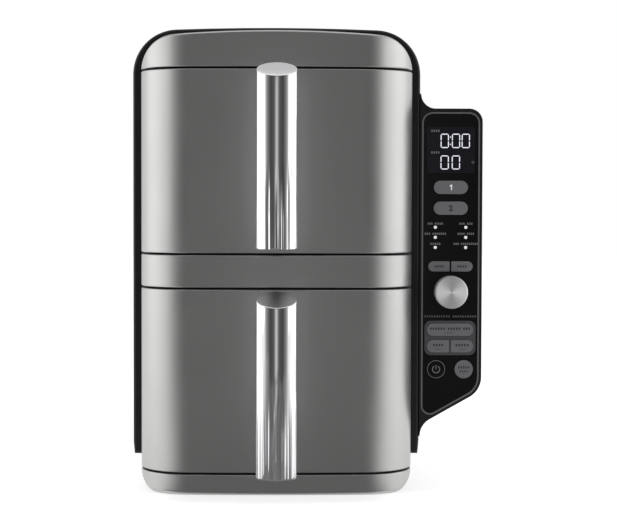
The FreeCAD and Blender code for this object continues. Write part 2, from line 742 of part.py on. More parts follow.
def side_frames():
    """Two upright sheets that carry the liners, standing on the sides of the tray."""
    front = BULKHEAD_BACK + LINER_WALL
    sheet = box(0, FRAME_SHEET, front, LINER_BACK, CASING_BOTTOM, CASING_TOP - FRAME_TOP_GAP)
    windows = []
    for level in ZONES.values():
        length = LINER_BACK - front - FRAME_WINDOW
        outline = rounded_rectangle((front + LINER_BACK) / 2, level + AXIS_RISE, length, FRAME_WINDOW,
                                    FRAME_CORNER, side_view(0))
        windows.append(along_x(outline, FRAME_SHEET))
    sheet = sheet.cut(windows)
    right = sheet.translated(V(LINER_WIDTH / 2, 0, 0))
    left = sheet.translated(V(-LINER_WIDTH / 2 - FRAME_SHEET, 0, 0))
    return Part.makeCompound([left, right])


def heater_legs():
    """Places (x, z above the fan axis) where the heater's two legs pass the liner's back."""
    return [(HEATER_START, -HEATER_BEND), (HEATER_OUTER + HEATER_STEP, HEATER_BEND)]


def chamber_liner():
    """Sheet box round a drawer's basket, with a front flange and two skids on its floor."""
    half, low, high = LINER_WIDTH / 2, LINER_RISE, LINER_RISE + LINER_HEIGHT
    shell = box(-half, half, BULKHEAD_BACK, LINER_BACK, low, high)
    wide = half + LINER_FLANGE
    flange = box(-wide, wide, BULKHEAD_BACK, BULKHEAD_BACK + LINER_WALL,
                 low - LINER_FLANGE, high + LINER_FLANGE)
    shell = merged(shell, [flange])
    shell = shell.cut(box(-MOUTH_HALF, MOUTH_HALF, BULKHEAD_BACK, LINER_END, MOUTH_LOW, MOUTH_HIGH))
    skids = []
    for x in (-SKID_SPREAD / 2, SKID_SPREAD / 2):
        skids.append(box(x - SKID_WIDTH / 2, x + SKID_WIDTH / 2, BULKHEAD_BACK, BASKET_BACK,
                         MOUTH_LOW, MOUTH_LOW + SKID_HEIGHT))
    shell = merged(shell, skids)
    holes = [rod(SHAFT_RADIUS + SHAFT_HOLE_CLEARANCE, 0, AXIS_RISE, LINER_END, LINER_BACK)]
    for x, rise in heater_legs():
        hole = HEATER_TUBE / 2 + HEATER_CLEARANCE
        holes.append(rod(hole, x, AXIS_RISE + rise, LINER_END, LINER_BACK))
    return shell.cut(holes)


def turned_copies(shape, count):
    """Copies of a shape, turned evenly about the fan axis."""
    axis_point = V(0, 0, AXIS_RISE)
    return [shape.rotated(axis_point, V(0, 1, 0), 360 * index / count) for index in range(count)]


def fan_guard():
    """Sheet grille in front of the heater and fan, on four posts."""
    half = MOUTH_HALF - GUARD_MARGIN
    rise = LINER_HEIGHT / 2 - LINER_WALL - GUARD_MARGIN
    plate = rounded_rectangle(0, AXIS_RISE, 2 * half, 2 * rise, GUARD_MARGIN, front_view(GUARD_FRONT))
    length = GUARD_SLOT_END - GUARD_SLOT_START
    reach = (GUARD_SLOT_END + GUARD_SLOT_START) / 2
    slot = rounded_rectangle(reach, AXIS_RISE, length, GUARD_SLOT, GUARD_SLOT / 2, front_view(GUARD_FRONT))
    slot = along_y(slot, GUARD_SHEET)
    plate = along_y(plate, GUARD_SHEET).cut(turned_copies(slot, GUARD_SPOKES))
    inset = GUARD_POST + GUARD_MARGIN
    posts = []
    for x in (inset - half, half - inset):
        for z in (AXIS_RISE - rise + inset, AXIS_RISE + rise - inset):
            posts.append(rod(GUARD_POST, x, z, FAN_FRONT, LINER_END))
    return merged(plate, posts)


def heater():
    """Tube heater wound round the fan, with two legs through a flange on the liner's back."""
    y = FAN_FRONT + FAN_SPACE / 2
    bend = HEATER_BEND
    end = LINER_BACK + HEATER_LEG
    slant = bend / math.sqrt(2)
    (start_x, start_rise), (end_x, end_rise) = heater_legs()

    def at(x, depth, rise):
        return V(x, depth, AXIS_RISE + rise)

    edges = [
        line(at(start_x, end, start_rise), at(start_x, y + bend, start_rise)),
        arc(at(start_x, y + bend, start_rise), at(start_x, y + bend - slant, -slant), at(start_x, y, 0)),
    ]
    here = start_x
    side = -1
    for index in range(HEATER_HALF_TURNS):
        radius = HEATER_START + HEATER_STEP * index
        there = here + side * 2 * radius
        edges.append(arc(at(here, y, 0), at((here + there) / 2, y, -side * radius), at(there, y, 0)))
        here = there
        side = -side
    edges.append(arc(at(end_x, y, 0), at(end_x, y + bend - slant, slant), at(end_x, y + bend, end_rise)))
    edges.append(line(at(end_x, y + bend, end_rise), at(end_x, end, end_rise)))
    ring = Part.Wire(Part.Circle(at(start_x, end, start_rise), V(0, 1, 0), HEATER_TUBE / 2).toShape())
    tube = Part.Wire(edges).makePipeShell([ring], True, False)
    margin = HEATER_TUBE + 2 * HEATER_FLANGE_MARGIN
    flange = rounded_rectangle((start_x + end_x) / 2, AXIS_RISE, end_x - start_x + margin, 2 * bend + margin,
                               HEATER_FLANGE_MARGIN, front_view(LINER_END - HEATER_FLANGE))
    return merged(tube, [along_y(flange, HEATER_FLANGE)])


def motor():
    """Fan motor: two end bells and a square stack, on posts against the liner's back."""
    bells = rod(MOTOR_RADIUS, 0, AXIS_RISE, MOTOR_FRONT, MOTOR_BACK)
    stack_front = (MOTOR_FRONT + MOTOR_BACK - MOTOR_STACK_LENGTH) / 2
    stack = rounded_rectangle(0, AXIS_RISE, MOTOR_STACK, MOTOR_STACK, MOTOR_STACK_CORNER,
                              front_view(stack_front))
    leg = rod(MOTOR_POST_RADIUS, 0, AXIS_RISE - MOTOR_POST_CIRCLE, LINER_BACK, MOTOR_FRONT)
    body = merged(bells, [along_y(stack, MOTOR_STACK_LENGTH)] + turned_copies(leg, MOTOR_POSTS))
    return body.cut(rod(SHAFT_RADIUS + RUNNING_CLEARANCE, 0, AXIS_RISE, MOTOR_FRONT, MOTOR_BACK))


def fan_shaft():
    """Shaft through the motor that carries both fans."""
    return rod(SHAFT_RADIUS, 0, AXIS_RISE, FAN_FRONT + FAN_END_GAP, COOLING_BACK)


def convection_fan():
    """Radial fan in the chamber: a back disc with upright blades round a hub."""
    front = FAN_FRONT + FAN_END_GAP
    back = LINER_END - HEATER_FLANGE - FAN_END_GAP
    disc = rod(FAN_RADIUS, 0, AXIS_RISE, back - FAN_DISC, back)
    hub = rod(FAN_HUB, 0, AXIS_RISE, front, back)
    blade = box(FAN_BLADE_START, FAN_RADIUS, front, back - FAN_DISC,
                AXIS_RISE - FAN_BLADE_SHEET / 2, AXIS_RISE + FAN_BLADE_SHEET / 2)
    fan = merged(disc, [hub] + turned_copies(blade, FAN_BLADES))
    return fan.cut(rod(SHAFT_RADIUS, 0, AXIS_RISE, front, back))


def cooling_fan():
    """Axial fan behind the motor, with slanted blades round a hub."""
    hub = rod(COOLING_HUB, 0, AXIS_RISE, COOLING_FRONT, COOLING_BACK)
    middle = (COOLING_FRONT + COOLING_BACK) / 2
    sheet, chord = COOLING_BLADE_SHEET / 2, COOLING_CHORD / 2
    blade = box(SHAFT_RADIUS, COOLING_RADIUS, middle - sheet, middle + sheet,
                AXIS_RISE - chord, AXIS_RISE + chord)
    blade = blade.rotated(V(0, middle, AXIS_RISE), V(1, 0, 0), COOLING_ANGLE)
    fan = merged(hub, turned_copies(blade, COOLING_BLADES))
    return fan.cut(rod(SHAFT_RADIUS, 0, AXIS_RISE, COOLING_FRONT, COOLING_BACK))


def drawer_front():
    """Bowed metallic front of a drawer, with holes for the handle's studs."""
    shell = band(0, DRAWER_HEIGHT, DRAWER_BACK)
    hole = STUD_RADIUS + STUD_CLEARANCE
    return shell.cut([rod(hole, 0, level, 0, 2 * FRONT_WALL) for level in ARM_LEVELS])


def drawer_back():
    """Plate that closes the back of the drawer front and carries the basket."""
    inset = FRONT_WALL + BACK_CLEARANCE
    half = FRONT_WIDTH / 2 - inset
    return box(-half, half, SEAL_FRONT - BACK_PLATE, SEAL_FRONT, inset, DRAWER_HEIGHT - inset)


def drawer_seal():
    """Silicone ring on the drawer's back plate that closes against the bulkhead."""
    middle = (MOUTH_LOW + MOUTH_HIGH) / 2
    width = 2 * (MOUTH_HALF + SEAL_MARGIN)
    height = MOUTH_HIGH - MOUTH_LOW + 2 * SEAL_MARGIN
    wall = 2 * SEAL_WIDTH
    place = front_view(SEAL_FRONT)
    outer = rounded_rectangle(0, middle, width + wall, height + wall, SEAL_CORNER, place)
    inner = rounded_rectangle(0, middle, width, height, SEAL_CORNER - SEAL_WIDTH, place)
    return along_y(outer, SEAL_DEPTH).cut(along_y(inner, SEAL_DEPTH))


def basket_block(grow, low, high):
    """Upright block with the basket's plan, grown by this much."""
    middle = SEAL_FRONT + BASKET_LENGTH / 2
    plan = rounded_rectangle(0, middle, BASKET_WIDTH + 2 * grow, BASKET_LENGTH + 2 * grow,
                             BASKET_CORNER + grow, plan_view(low))
    return along_z(plan, high - low)


def basket():
    """Deep drawn tray with a rim, and air slots in its back wall."""
    top = BASKET_RISE + BASKET_HEIGHT
    outer = rounded_at_level(basket_block(0, BASKET_RISE, top), BASKET_RISE, BASKET_FLOOR_ROUND)
    rim = basket_block(BASKET_RIM, top - BASKET_WALL, top)
    rim = rim.common(box(-FRONT_WIDTH, FRONT_WIDTH, SEAL_FRONT, LINER_END, BASKET_RISE, top))
    inner = basket_block(-BASKET_WALL, BASKET_FLOOR, top)
    inner = rounded_at_level(inner, BASKET_FLOOR, BASKET_FLOOR_ROUND - BASKET_WALL)
    tray = merged(outer, [rim]).cut(inner)
    level = top - AIR_SLOT_DROP - AIR_SLOT_HEIGHT / 2
    slots = []
    for index in range(AIR_SLOT_COUNT):
        x = AIR_SLOT_PITCH * (index - (AIR_SLOT_COUNT - 1) / 2)
        outline = rounded_rectangle(x, level, AIR_SLOT_WIDTH, AIR_SLOT_HEIGHT, AIR_SLOT_WIDTH / 2,
                                    front_view(BASKET_BACK - 2 * BASKET_WALL))
        slots.append(along_y(outline, 3 * BASKET_WALL))
    return tray.cut(slots)


def oval_face(half_width, half_depth, side_round, place):
    """Face of an oval made of four tangent arcs, round the origin of its view."""
    reach = half_width - side_round
    front_round = (reach ** 2 + half_depth ** 2 - side_round ** 2) / (2 * (half_depth - side_round))
    centre = V(0, half_depth - front_round, 0)
    touch = centre + (V(reach, 0, 0) - centre).normalize() * front_round
    edges = []
    for turn in (1, -1):
        right, left = V(turn * touch.x, turn * touch.y, 0), V(-turn * touch.x, turn * touch.y, 0)
        edges.append(arc(place(right), place(V(0, turn * half_depth, 0)), place(left)))
        below = V(left.x, -left.y, 0)
        edges.append(arc(place(left), place(V(-turn * half_width, 0, 0)), place(below)))
    return Part.Face(Part.Wire(edges))


def handle_bar():
    """Whole bar of the handle: an upright oval, cut flat below and on a slant above."""
    middle = HANDLE_BACK - HANDLE_DEPTH / 2
    oval = oval_face(HANDLE_WIDTH / 2, HANDLE_DEPTH / 2, HANDLE_SIDE_ROUND, plan_view(HANDLE_FOOT))
    bar = along_z(oval.translated(V(0, middle, 0)), HANDLE_TOP - HANDLE_FOOT)
    front = -HANDLE_REACH
    corners = [(HANDLE_BACK, HANDLE_TOP, 0), (front, HANDLE_SHORT_TOP, 0), (front, HANDLE_TOP, 0)]
    wedge = along_x(rounded_face(corners, side_view(-HANDLE_WIDTH)), 2 * HANDLE_WIDTH)
    bar = bar.cut(wedge)
    lean = HANDLE_DROP / HANDLE_DEPTH

    def on_end(p):
        on_slant = abs(p.z - HANDLE_TOP + (HANDLE_BACK - p.y) * lean) < TINY
        return on_slant or abs(p.z - HANDLE_FOOT) < TINY

    return bar.makeFillet(HANDLE_ROUND, edges_where(bar, on_end))


def spine_block():
    """Channel along the back of the handle that holds the bracket's spine."""
    half = SPINE_WIDTH / 2
    return box(-half, half, HANDLE_BACK - SPINE_DEPTH, HANDLE_BACK,
               HANDLE_FOOT + SPINE_MARGIN, HANDLE_SHORT_TOP - SPINE_MARGIN)


def handle():
    """Plated sleeve of the handle."""
    return handle_bar().cut(spine_block())


def handle_bracket():
    """Spine inside the handle, with two arms and studs to the drawer front."""
    spine = handle_bar().common(spine_block())
    half = ARM_WIDTH / 2
    front = HANDLE_BACK - SPINE_DEPTH / 2
    added = []
    for level in ARM_LEVELS:
        outline = rounded_rectangle(0, level, ARM_WIDTH, ARM_HEIGHT, half / 2, front_view(front))
        arm = along_y(outline, FRONT_WALL - front)
        added.append(arm.cut(front_prism(0, 0, DRAWER_HEIGHT, DRAWER_BACK)))
        added.append(rod(STUD_RADIUS, 0, level, front, SEAL_FRONT - BACK_PLATE))
    return merged(spine, added)


def plate_foot_places():
    """Middles of the crisper plate's feet, as (x, y)."""
    inset = BASKET_WALL + BASKET_FLOOR_ROUND + PLATE_FOOT_RADIUS
    x = BASKET_WIDTH / 2 - inset
    return [(side * x, y) for side in (-1, 1) for y in (SEAL_FRONT + inset, BASKET_BACK - inset)]


def crisper_plate():
    """Slotted sheet that carries the food above the basket's floor."""
    inset = BASKET_WALL + PLATE_GAP
    plate = basket_block(-inset, PLATE_RISE, PLATE_RISE + PLATE_SHEET)
    width = BASKET_WIDTH - 2 * (inset + PLATE_MARGIN)
    length = BASKET_LENGTH - 2 * (inset + PLATE_MARGIN)
    column, row = width / PLATE_COLUMNS, length / PLATE_ROWS
    middle = SEAL_FRONT + BASKET_LENGTH / 2
    cuts = []
    for across in range(PLATE_COLUMNS):
        for along in range(PLATE_ROWS):
            x = column * (across - (PLATE_COLUMNS - 1) / 2)
            y = middle + row * (along - (PLATE_ROWS - 1) / 2)
            slot = rounded_rectangle(x, y, PLATE_SLOT, row - PLATE_BRIDGE, PLATE_SLOT / 2,
                                     plan_view(PLATE_RISE))
            cuts.append(along_z(slot, PLATE_SHEET))
    neck = PLATE_FOOT_NECK + PLUG_CLEARANCE
    cuts += [post(neck, x, y, PLATE_RISE, PLATE_RISE + PLATE_SHEET) for x, y in plate_foot_places()]
    return plate.cut(cuts)


def plate_feet():
    """Four silicone feet, each buttoned through the crisper plate."""
    over = PLATE_RISE + PLATE_SHEET
    group = []
    for x, y in plate_foot_places():
        foot = post(PLATE_FOOT_RADIUS, x, y, BASKET_FLOOR + PLATE_FOOT_GAP, PLATE_RISE)
        neck = post(PLATE_FOOT_NECK, x, y, PLATE_RISE, over)
        head = post(PLATE_FOOT_HEAD, x, y, over, over + PLATE_FOOT_RISE)
        group.append(merged(foot, [neck, head]))
    return Part.makeCompound(group)


def pod_outline(y):
    """Front view of the pod, with hollow fillets where it grows out of the casing's side."""
    tip = POD_LEFT + POD_TIP
    low = POD_KNEE - (POD_WIDTH - POD_TIP) * POD_RISE
    low_reach = POD_LOW_FILLET * math.tan(math.radians(90 - POD_SLOPE) / 2)
    top_end, low_end = POD_TOP + POD_TOP_FILLET, low - low_reach
    corners = [
        (POD_LEFT, top_end, 0), (tip, top_end, 0), (tip, POD_TOP, POD_TOP_FILLET),
        (POD_RIGHT, POD_TOP, POD_TOP_CORNER), (POD_RIGHT, POD_KNEE, POD_KNEE_ROUND),
        (tip, low, POD_LOW_FILLET), (tip, low_end, 0), (POD_LEFT, low_end, 0),
    ]
    return rounded_face(corners, front_view(y))


def pod_block():
    """Deep part of the pod, with a rounded back."""
    low = POD_KNEE - POD_WIDTH * POD_RISE
    corners = [(POD_LEFT, POD_TOP, 0), (POD_RIGHT, POD_TOP, POD_TOP_CORNER),
               (POD_RIGHT, POD_KNEE, POD_KNEE_ROUND), (POD_LEFT, low, 0)]
    block = along_y(rounded_face(corners, front_view(FRONT_DEPTH + POD_FIN)), POD_DEPTH - POD_FIN)
    free = edges_where(block, lambda p: abs(p.y - POD_BACK) < TINY)
    free = [edge for edge in free if edge.BoundBox.XMax > POD_LEFT + TINY]
    return block.makeFillet(POD_BACK_ROUND, free)


def face_outline(grow, y):
    """Front view of the pod's glossy face, grown by this much."""
    slope_shift = grow * SLOPE_SECANT
    x0, x1 = FACE_X0 - grow, FACE_X1 + grow
    right = FACE_KNEE + grow * POD_RISE - slope_shift
    left = right - (x1 - x0) * POD_RISE
    corners = [
        (x0, FACE_TOP + grow, FACE_TOP_CORNER + grow), (x1, FACE_TOP + grow, FACE_TOP_CORNER + grow),
        (x1, right, FACE_KNEE_ROUND + grow), (x0, left, FACE_LOW_CORNER + grow),
    ]
    return rounded_face(corners, front_view(y))


def board_post_places():
    """Middles of the posts behind the control board, as (x, z)."""
    x0, x1 = FACE_X0 + BOARD_POST_INSET, FACE_X1 - BOARD_POST_INSET
    return [(x, z) for x in (x0, x1) for z in (FACE_TOP - 2 * BOARD_POST_INSET, DIAL_LEVEL, ROUND_LEVEL)]


def pod_housing():
    """Moulded shell of the control pod, open to the front, with posts for its board."""
    fin = along_y(pod_outline(FRONT_DEPTH), POD_FIN)
    edges = edges_where(fin, lambda p: abs(p.y - FRONT_DEPTH) < TINY)
    edges = [edge for edge in edges if edge.BoundBox.XMax > POD_LEFT + POD_TIP + TINY]
    shell = merged(fin.makeFillet(POD_TIP_ROUND, edges), [pod_block()])
    shell = shell.cut(along_y(face_outline(TRIM_CLEARANCE, FRONT_DEPTH), FACE_BACK - FRONT_DEPTH))
    shell = shell.cut(along_y(face_outline(-LEDGE, FACE_BACK), POD_CAVITY_BACK - FACE_BACK))
    posts = [rod(BOARD_POST, x, z, CONTROL_BOARD_BACK, POD_CAVITY_BACK) for x, z in board_post_places()]
    return merged(shell, posts)


def trim_ring():
    """Thin grey line round the glossy face."""
    front = FRONT_DEPTH - TRIM_PROUD
    depth = FACE_BACK - front
    return along_y(face_outline(0, front), depth).cut(along_y(face_outline(-TRIM_WIDTH, front), depth))


def rectangle_outline(x, z, width, height, radius):
    """Function of (grow, y) that gives a rounded rectangle on the pod's face."""
    def outline(grow, y):
        return rounded_rectangle(x, z, width + 2 * grow, height + 2 * grow, radius + grow, front_view(y))
    return outline


def half_pill_outline(side, z, width, height):
    """Function of (grow, y) that gives one half of a pill that is split down its middle."""
    def outline(grow, y):
        inner = FACE_MIDDLE + side * (SPLIT / 2 - grow)
        outer = FACE_MIDDLE + side * (width / 2 + grow)
        low, high = z - height / 2 - grow, z + height / 2 + grow
        end, near = height / 2 + grow, SPLIT_CORNER
        corners = [(outer, low, end), (inner, low, near), (inner, high, near), (outer, high, end)]
        return rounded_face(corners, front_view(y))
    return outline


def round_outline(x, z, radius):
    """Function of (grow, y) that gives a disc on the pod's face."""
    def outline(grow, y):
        return Part.Face(Part.Wire(Part.Circle(V(x, y, z), V(0, 1, 0), radius + grow).toShape()))
    return outline


def button_outlines():
    """Outline of every button, by its name."""
    pill, group_pill = ZONE_HEIGHT / 2, GROUP_HEIGHT / 2
    group_top = SURROUND_LEVEL + GROUP_SHIFT
    group_low = SURROUND_LEVEL - GROUP_SHIFT
    reach = ROUND_SPREAD / 2
    return {
        "zone_1_button": rectangle_outline(FACE_MIDDLE, ZONE_1_LEVEL, ZONE_WIDTH, ZONE_HEIGHT, pill),
        "zone_2_button": rectangle_outline(FACE_MIDDLE, ZONE_2_LEVEL, ZONE_WIDTH, ZONE_HEIGHT, pill),
        "temperature_button": half_pill_outline(-1, SETTING_LEVEL, SETTING_WIDTH, SETTING_HEIGHT),
        "time_button": half_pill_outline(1, SETTING_LEVEL, SETTING_WIDTH, SETTING_HEIGHT),
        "stack_button": rectangle_outline(FACE_MIDDLE, group_top, GROUP_WIDTH, GROUP_HEIGHT, group_pill),
        "sync_button": half_pill_outline(-1, group_low, GROUP_WIDTH, GROUP_HEIGHT),
        "match_button": half_pill_outline(1, group_low, GROUP_WIDTH, GROUP_HEIGHT),
        "power_button": round_outline(FACE_MIDDLE - reach, ROUND_LEVEL, ROUND_RADIUS),
        "start_button": round_outline(FACE_MIDDLE + reach, ROUND_LEVEL, ROUND_RADIUS),
    }


def button(outline):
    """Push button: a cap through the face, a lip behind it and a stem towards its switch."""
    front = FACE_FRONT - BUTTON_PROUD
    lip_front = FACE_BACK + BUTTON_LIP_GAP
    lip_back = lip_front + BUTTON_LIP_DEPTH
    cap = rounded_at_depth(along_y(outline(0, front), lip_back - front), front, BUTTON_ROUND)
    lip = along_y(outline(BUTTON_LIP, lip_front), BUTTON_LIP_DEPTH)
    middle = outline(0, front).BoundBox.Center
    return merged(cap, [lip, rod(STEM_RADIUS, middle.x, middle.z, lip_back, STEM_END)])


def display_outline(grow, y):
    """Front view of the display window, grown by this much."""
    outline = rectangle_outline(FACE_MIDDLE, DISPLAY_LEVEL, DISPLAY_WIDTH, DISPLAY_HEIGHT, DISPLAY_CORNER)
    return outline(grow, y)


def surround_outline(grow, y):
    """Front view of the plate round the lower buttons, grown by this much."""
    width, height = SURROUND_WIDTH, SURROUND_HEIGHT
    outline = rectangle_outline(FACE_MIDDLE, SURROUND_LEVEL, width, height, SURROUND_CORNER)
    return outline(grow, y)


def lamp_places():
    """Middles of the mode lamps, as (x, z)."""
    xs = (FACE_MIDDLE - LAMP_SPREAD / 2, FACE_MIDDLE + LAMP_SPREAD / 2)
    return [(x, LAMP_LEVEL - LAMP_PITCH * row) for row in range(LAMP_ROWS) for x in xs]


def pod_face():
    """Glossy plate with an opening for each control."""
    fit = TRIM_WIDTH + TRIM_CLEARANCE
    plate = along_y(face_outline(-fit, FACE_FRONT), FACE_SHEET)
    cuts = []
    for outline in button_outlines().values():
        cuts.append(along_y(outline(BUTTON_CLEARANCE, FACE_FRONT), FACE_SHEET))
    cuts.append(along_y(display_outline(INSERT_CLEARANCE, FACE_FRONT), FACE_SHEET))
    cuts.append(along_y(surround_outline(INSERT_CLEARANCE, FACE_FRONT), SURROUND_SHEET))
    cuts.append(rod(DIAL_WELL, FACE_MIDDLE, DIAL_LEVEL, FACE_FRONT, FACE_FRONT + DIAL_WELL_DEPTH))
    cuts.append(rod(ENCODER_BUSH + DIAL_HOLE_CLEARANCE, FACE_MIDDLE, DIAL_LEVEL, FACE_FRONT, FACE_BACK))
    hole = LAMP_RADIUS + LAMP_CLEARANCE
    cuts += [rod(hole, x, z, FACE_FRONT, FACE_BACK) for x, z in lamp_places()]
    return plate.cut(cuts)


def button_surround():
    """Thin grey plate let into the face round the lower group of buttons."""
    plate = along_y(surround_outline(0, FACE_FRONT), SURROUND_SHEET)
    outlines = button_outlines()
    openings = []
    for name in ("stack_button", "sync_button", "match_button"):
        openings.append(along_y(outlines[name](BUTTON_CLEARANCE, FACE_FRONT), SURROUND_SHEET))
    return plate.cut(openings)


def display_lens():
    """Tinted window over the display, with a lip behind the face."""
    window = along_y(display_outline(0, FACE_FRONT), FACE_SHEET)
    lip = along_y(display_outline(INSERT_CLEARANCE + DISPLAY_LIP, FACE_BACK), DISPLAY_LIP_DEPTH)
    return merged(window, [lip])


def display_module():
    """Digit module behind the window, on the control board."""
    front = CONTROL_BOARD_FRONT - DISPLAY_MODULE_DEPTH
    return along_y(display_outline(-DISPLAY_MODULE_INSET, front), DISPLAY_MODULE_DEPTH)


def control_board():
    """Circuit board behind the face, with a switch behind each button."""
    board = along_y(face_outline(-LEDGE - BOARD_CLEARANCE, CONTROL_BOARD_FRONT), BOARD_SHEET)
    switches = []
    for outline in button_outlines().values():
        middle = outline(0, SWITCH_FRONT).BoundBox.Center
        half = SWITCH_SIZE / 2
        switches.append(box(middle.x - half, middle.x + half, SWITCH_FRONT, CONTROL_BOARD_FRONT,
                            middle.z - half, middle.z + half))
    return merged(board, switches)


def mode_lamps():
    """Light pipes from the control board to the face."""
    front = FACE_FRONT - LAMP_PROUD
    return Part.makeCompound([rod(LAMP_RADIUS, x, z, front, CONTROL_BOARD_FRONT) for x, z in lamp_places()])


def dial_encoder():
    """Encoder on the control board, with the bush that the dial's stem turns in."""
    half = ENCODER_SIZE / 2
    front = CONTROL_BOARD_FRONT - ENCODER_HEIGHT
    body = box(FACE_MIDDLE - half, FACE_MIDDLE + half, front, CONTROL_BOARD_FRONT,
               DIAL_LEVEL - half, DIAL_LEVEL + half)
    body = merged(body, [rod(ENCODER_BUSH, FACE_MIDDLE, DIAL_LEVEL, FACE_BACK, front)])
    bore = DIAL_STEM + RUNNING_CLEARANCE
    return body.cut(rod(bore, FACE_MIDDLE, DIAL_LEVEL, FACE_BACK, DIAL_STEM_END + RUNNING_CLEARANCE))


def dial_knob():
    """Turned dial with a bevelled front edge and a stem into the encoder."""
    cap = rod(DIAL_RADIUS, FACE_MIDDLE, DIAL_LEVEL, DIAL_FRONT, DIAL_BACK)
    front_edge = edges_where(cap, lambda p: abs(p.y - DIAL_FRONT) < TINY)
    cap = cap.makeChamfer(DIAL_CHAMFER, front_edge)
    return merged(cap, [rod(DIAL_STEM, FACE_MIDDLE, DIAL_LEVEL, DIAL_BACK, DIAL_STEM_END)])


def zone_pieces():
    """Pieces that each drawer's zone has, drawn above the drawer front's lower edge."""
    return {
        "chamber_liner": chamber_liner(), "heater": heater(), "fan_guard": fan_guard(), "motor": motor(),
        "fan_shaft": fan_shaft(), "convection_fan": convection_fan(), "cooling_fan": cooling_fan(),
        "drawer_front": drawer_front(), "drawer_back": drawer_back(), "drawer_seal": drawer_seal(),
        "basket": basket(), "handle": handle(), "handle_bracket": handle_bracket(),
        "crisper_plate": crisper_plate(), "plate_feet": plate_feet(),
    }


def single_pieces():
    """Pieces that the whole object has once."""
    return {
        "base_tray": base_tray(), "feet": feet(), "base_band": base_band(),
        "mid_band": band(MID_BOTTOM, MID_TOP, BULKHEAD_FRONT), "top_band": top_band(),
        "outer_casing": outer_casing(), "rear_cover": rear_cover(), "cord_gland": cord_gland(),
        "front_bulkhead": front_bulkhead(), "side_frames": side_frames(), "power_board": power_board(),
        "pod_housing": pod_housing(), "pod_face": pod_face(), "trim_ring": trim_ring(),
        "button_surround": button_surround(), "display_lens": display_lens(),
        "display_module": display_module(), "control_board": control_board(), "mode_lamps": mode_lamps(),
        "dial_encoder": dial_encoder(), "dial_knob": dial_knob(),
    }


def write(name, shape):
    shape.translated(MIDDLE * -1).exportStep("parts/" + name + ".step")


os.makedirs("parts", exist_ok=True)
for piece, solid in single_pieces().items():
    write(piece, solid)
for piece, outline in button_outlines().items():
    write(piece, button(outline))
for piece, solid in zone_pieces().items():
    for zone, level in ZONES.items():
        write(zone + "_" + piece, solid.translated(V(0, 0, level)))
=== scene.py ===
# %% [markdown]
# # An air fryer with two stacked drawers
# The solids of this part were drawn as a CAD model and packed into a frame of named nodes. This lesson
# dresses them in Blender. It gives every node a material made from nodes, gives the handles a second
# finish, prints the marks on the control panel, adds the screws at the back, and sets up a small studio.

# %% Load the frame
import json
import math

import bmesh
import bpy
from mathutils import Matrix, Vector


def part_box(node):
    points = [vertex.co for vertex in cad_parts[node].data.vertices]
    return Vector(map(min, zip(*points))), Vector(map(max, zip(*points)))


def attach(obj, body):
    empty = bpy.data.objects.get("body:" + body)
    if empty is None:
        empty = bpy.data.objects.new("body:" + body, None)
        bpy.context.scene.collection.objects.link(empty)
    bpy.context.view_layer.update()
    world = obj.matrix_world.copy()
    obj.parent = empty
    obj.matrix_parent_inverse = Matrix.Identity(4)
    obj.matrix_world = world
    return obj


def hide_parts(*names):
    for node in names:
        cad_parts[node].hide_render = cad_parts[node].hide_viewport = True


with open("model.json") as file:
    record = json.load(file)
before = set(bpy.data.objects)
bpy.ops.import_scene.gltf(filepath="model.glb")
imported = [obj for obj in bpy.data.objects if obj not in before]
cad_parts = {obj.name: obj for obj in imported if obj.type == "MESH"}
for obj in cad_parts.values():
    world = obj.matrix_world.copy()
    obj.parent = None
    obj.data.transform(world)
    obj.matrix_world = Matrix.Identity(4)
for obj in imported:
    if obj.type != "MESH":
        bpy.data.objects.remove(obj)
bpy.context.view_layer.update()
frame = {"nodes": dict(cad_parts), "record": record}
nodes = frame["nodes"]
MM = 0.001

# %% [markdown]
# ## Where things are
# Every place below is read from the boxes of the loaded nodes, so the dressing follows the solids when a
# size changes. The middle band gives the middle plane of the body and its foremost line, and the glossy
# face of the pod gives the plane that the panel's marks lie on.

# %% Places read from the frame
def middle(node):
    """Middle of a node's box."""
    low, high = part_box(node)
    return (low + high) / 2


def on_front(node):
    """Middle of a node's box, moved out to its front."""
    place = middle(node)
    place.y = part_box(node)[0].y
    return place


BODY_X = middle("mid_band").x
FRONT_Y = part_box("mid_band")[0].y
FACE = on_front("pod_face")
ZONES = ("upper", "lower")
print("middle plane x =", round(BODY_X / MM, 1), "mm, foremost line y =", round(FRONT_Y / MM, 1), "mm")

# %% [markdown]
# ## Material helpers
# Colours are written as sRGB hex values, the way a colour picker shows them, and one function turns them
# into the linear values that a shader wants. A second function adds a node and fills or links its inputs,
# so that each material reads as a short list of steps.

# %% Colour and node helpers
def linear(hex_colour):
    """Linear RGBA of an sRGB hex value."""
    channels = [int(hex_colour[i:i + 2], 16) / 255 for i in (1, 3, 5)]
    return [c / 12.92 if c <= 0.04045 else ((c + 0.055) / 1.055) ** 2.4 for c in channels] + [1.0]


def add_node(tree, kind, settings=None, links=None, **inputs):
    """Adds a node. Inputs are named with underscores for spaces; links gives inputs by their number."""
    node = tree.nodes.new(kind)
    for key, value in (settings or {}).items():
        setattr(node, key, value)
    sockets = [(node.inputs[key.replace("_", " ")], value) for key, value in inputs.items()]
    sockets += [(node.inputs[number], value) for number, value in (links or {}).items()]
    for socket, value in sockets:
        if isinstance(value, bpy.types.NodeSocket):
            tree.links.new(value, socket)
        else:
            socket.default_value = value
    return node


def new_material(name, colour, **values):
    """Material with one Principled shader; values are set on the shader's own sockets."""
    material = bpy.data.materials.new(name)
    material.use_nodes = True
    shader = material.node_tree.nodes["Principled BSDF"]
    shader.inputs["Base Color"].default_value = linear(colour)
    for key, value in values.items():
        shader.inputs[key.replace("_", " ")].default_value = value
    return material, material.node_tree, shader


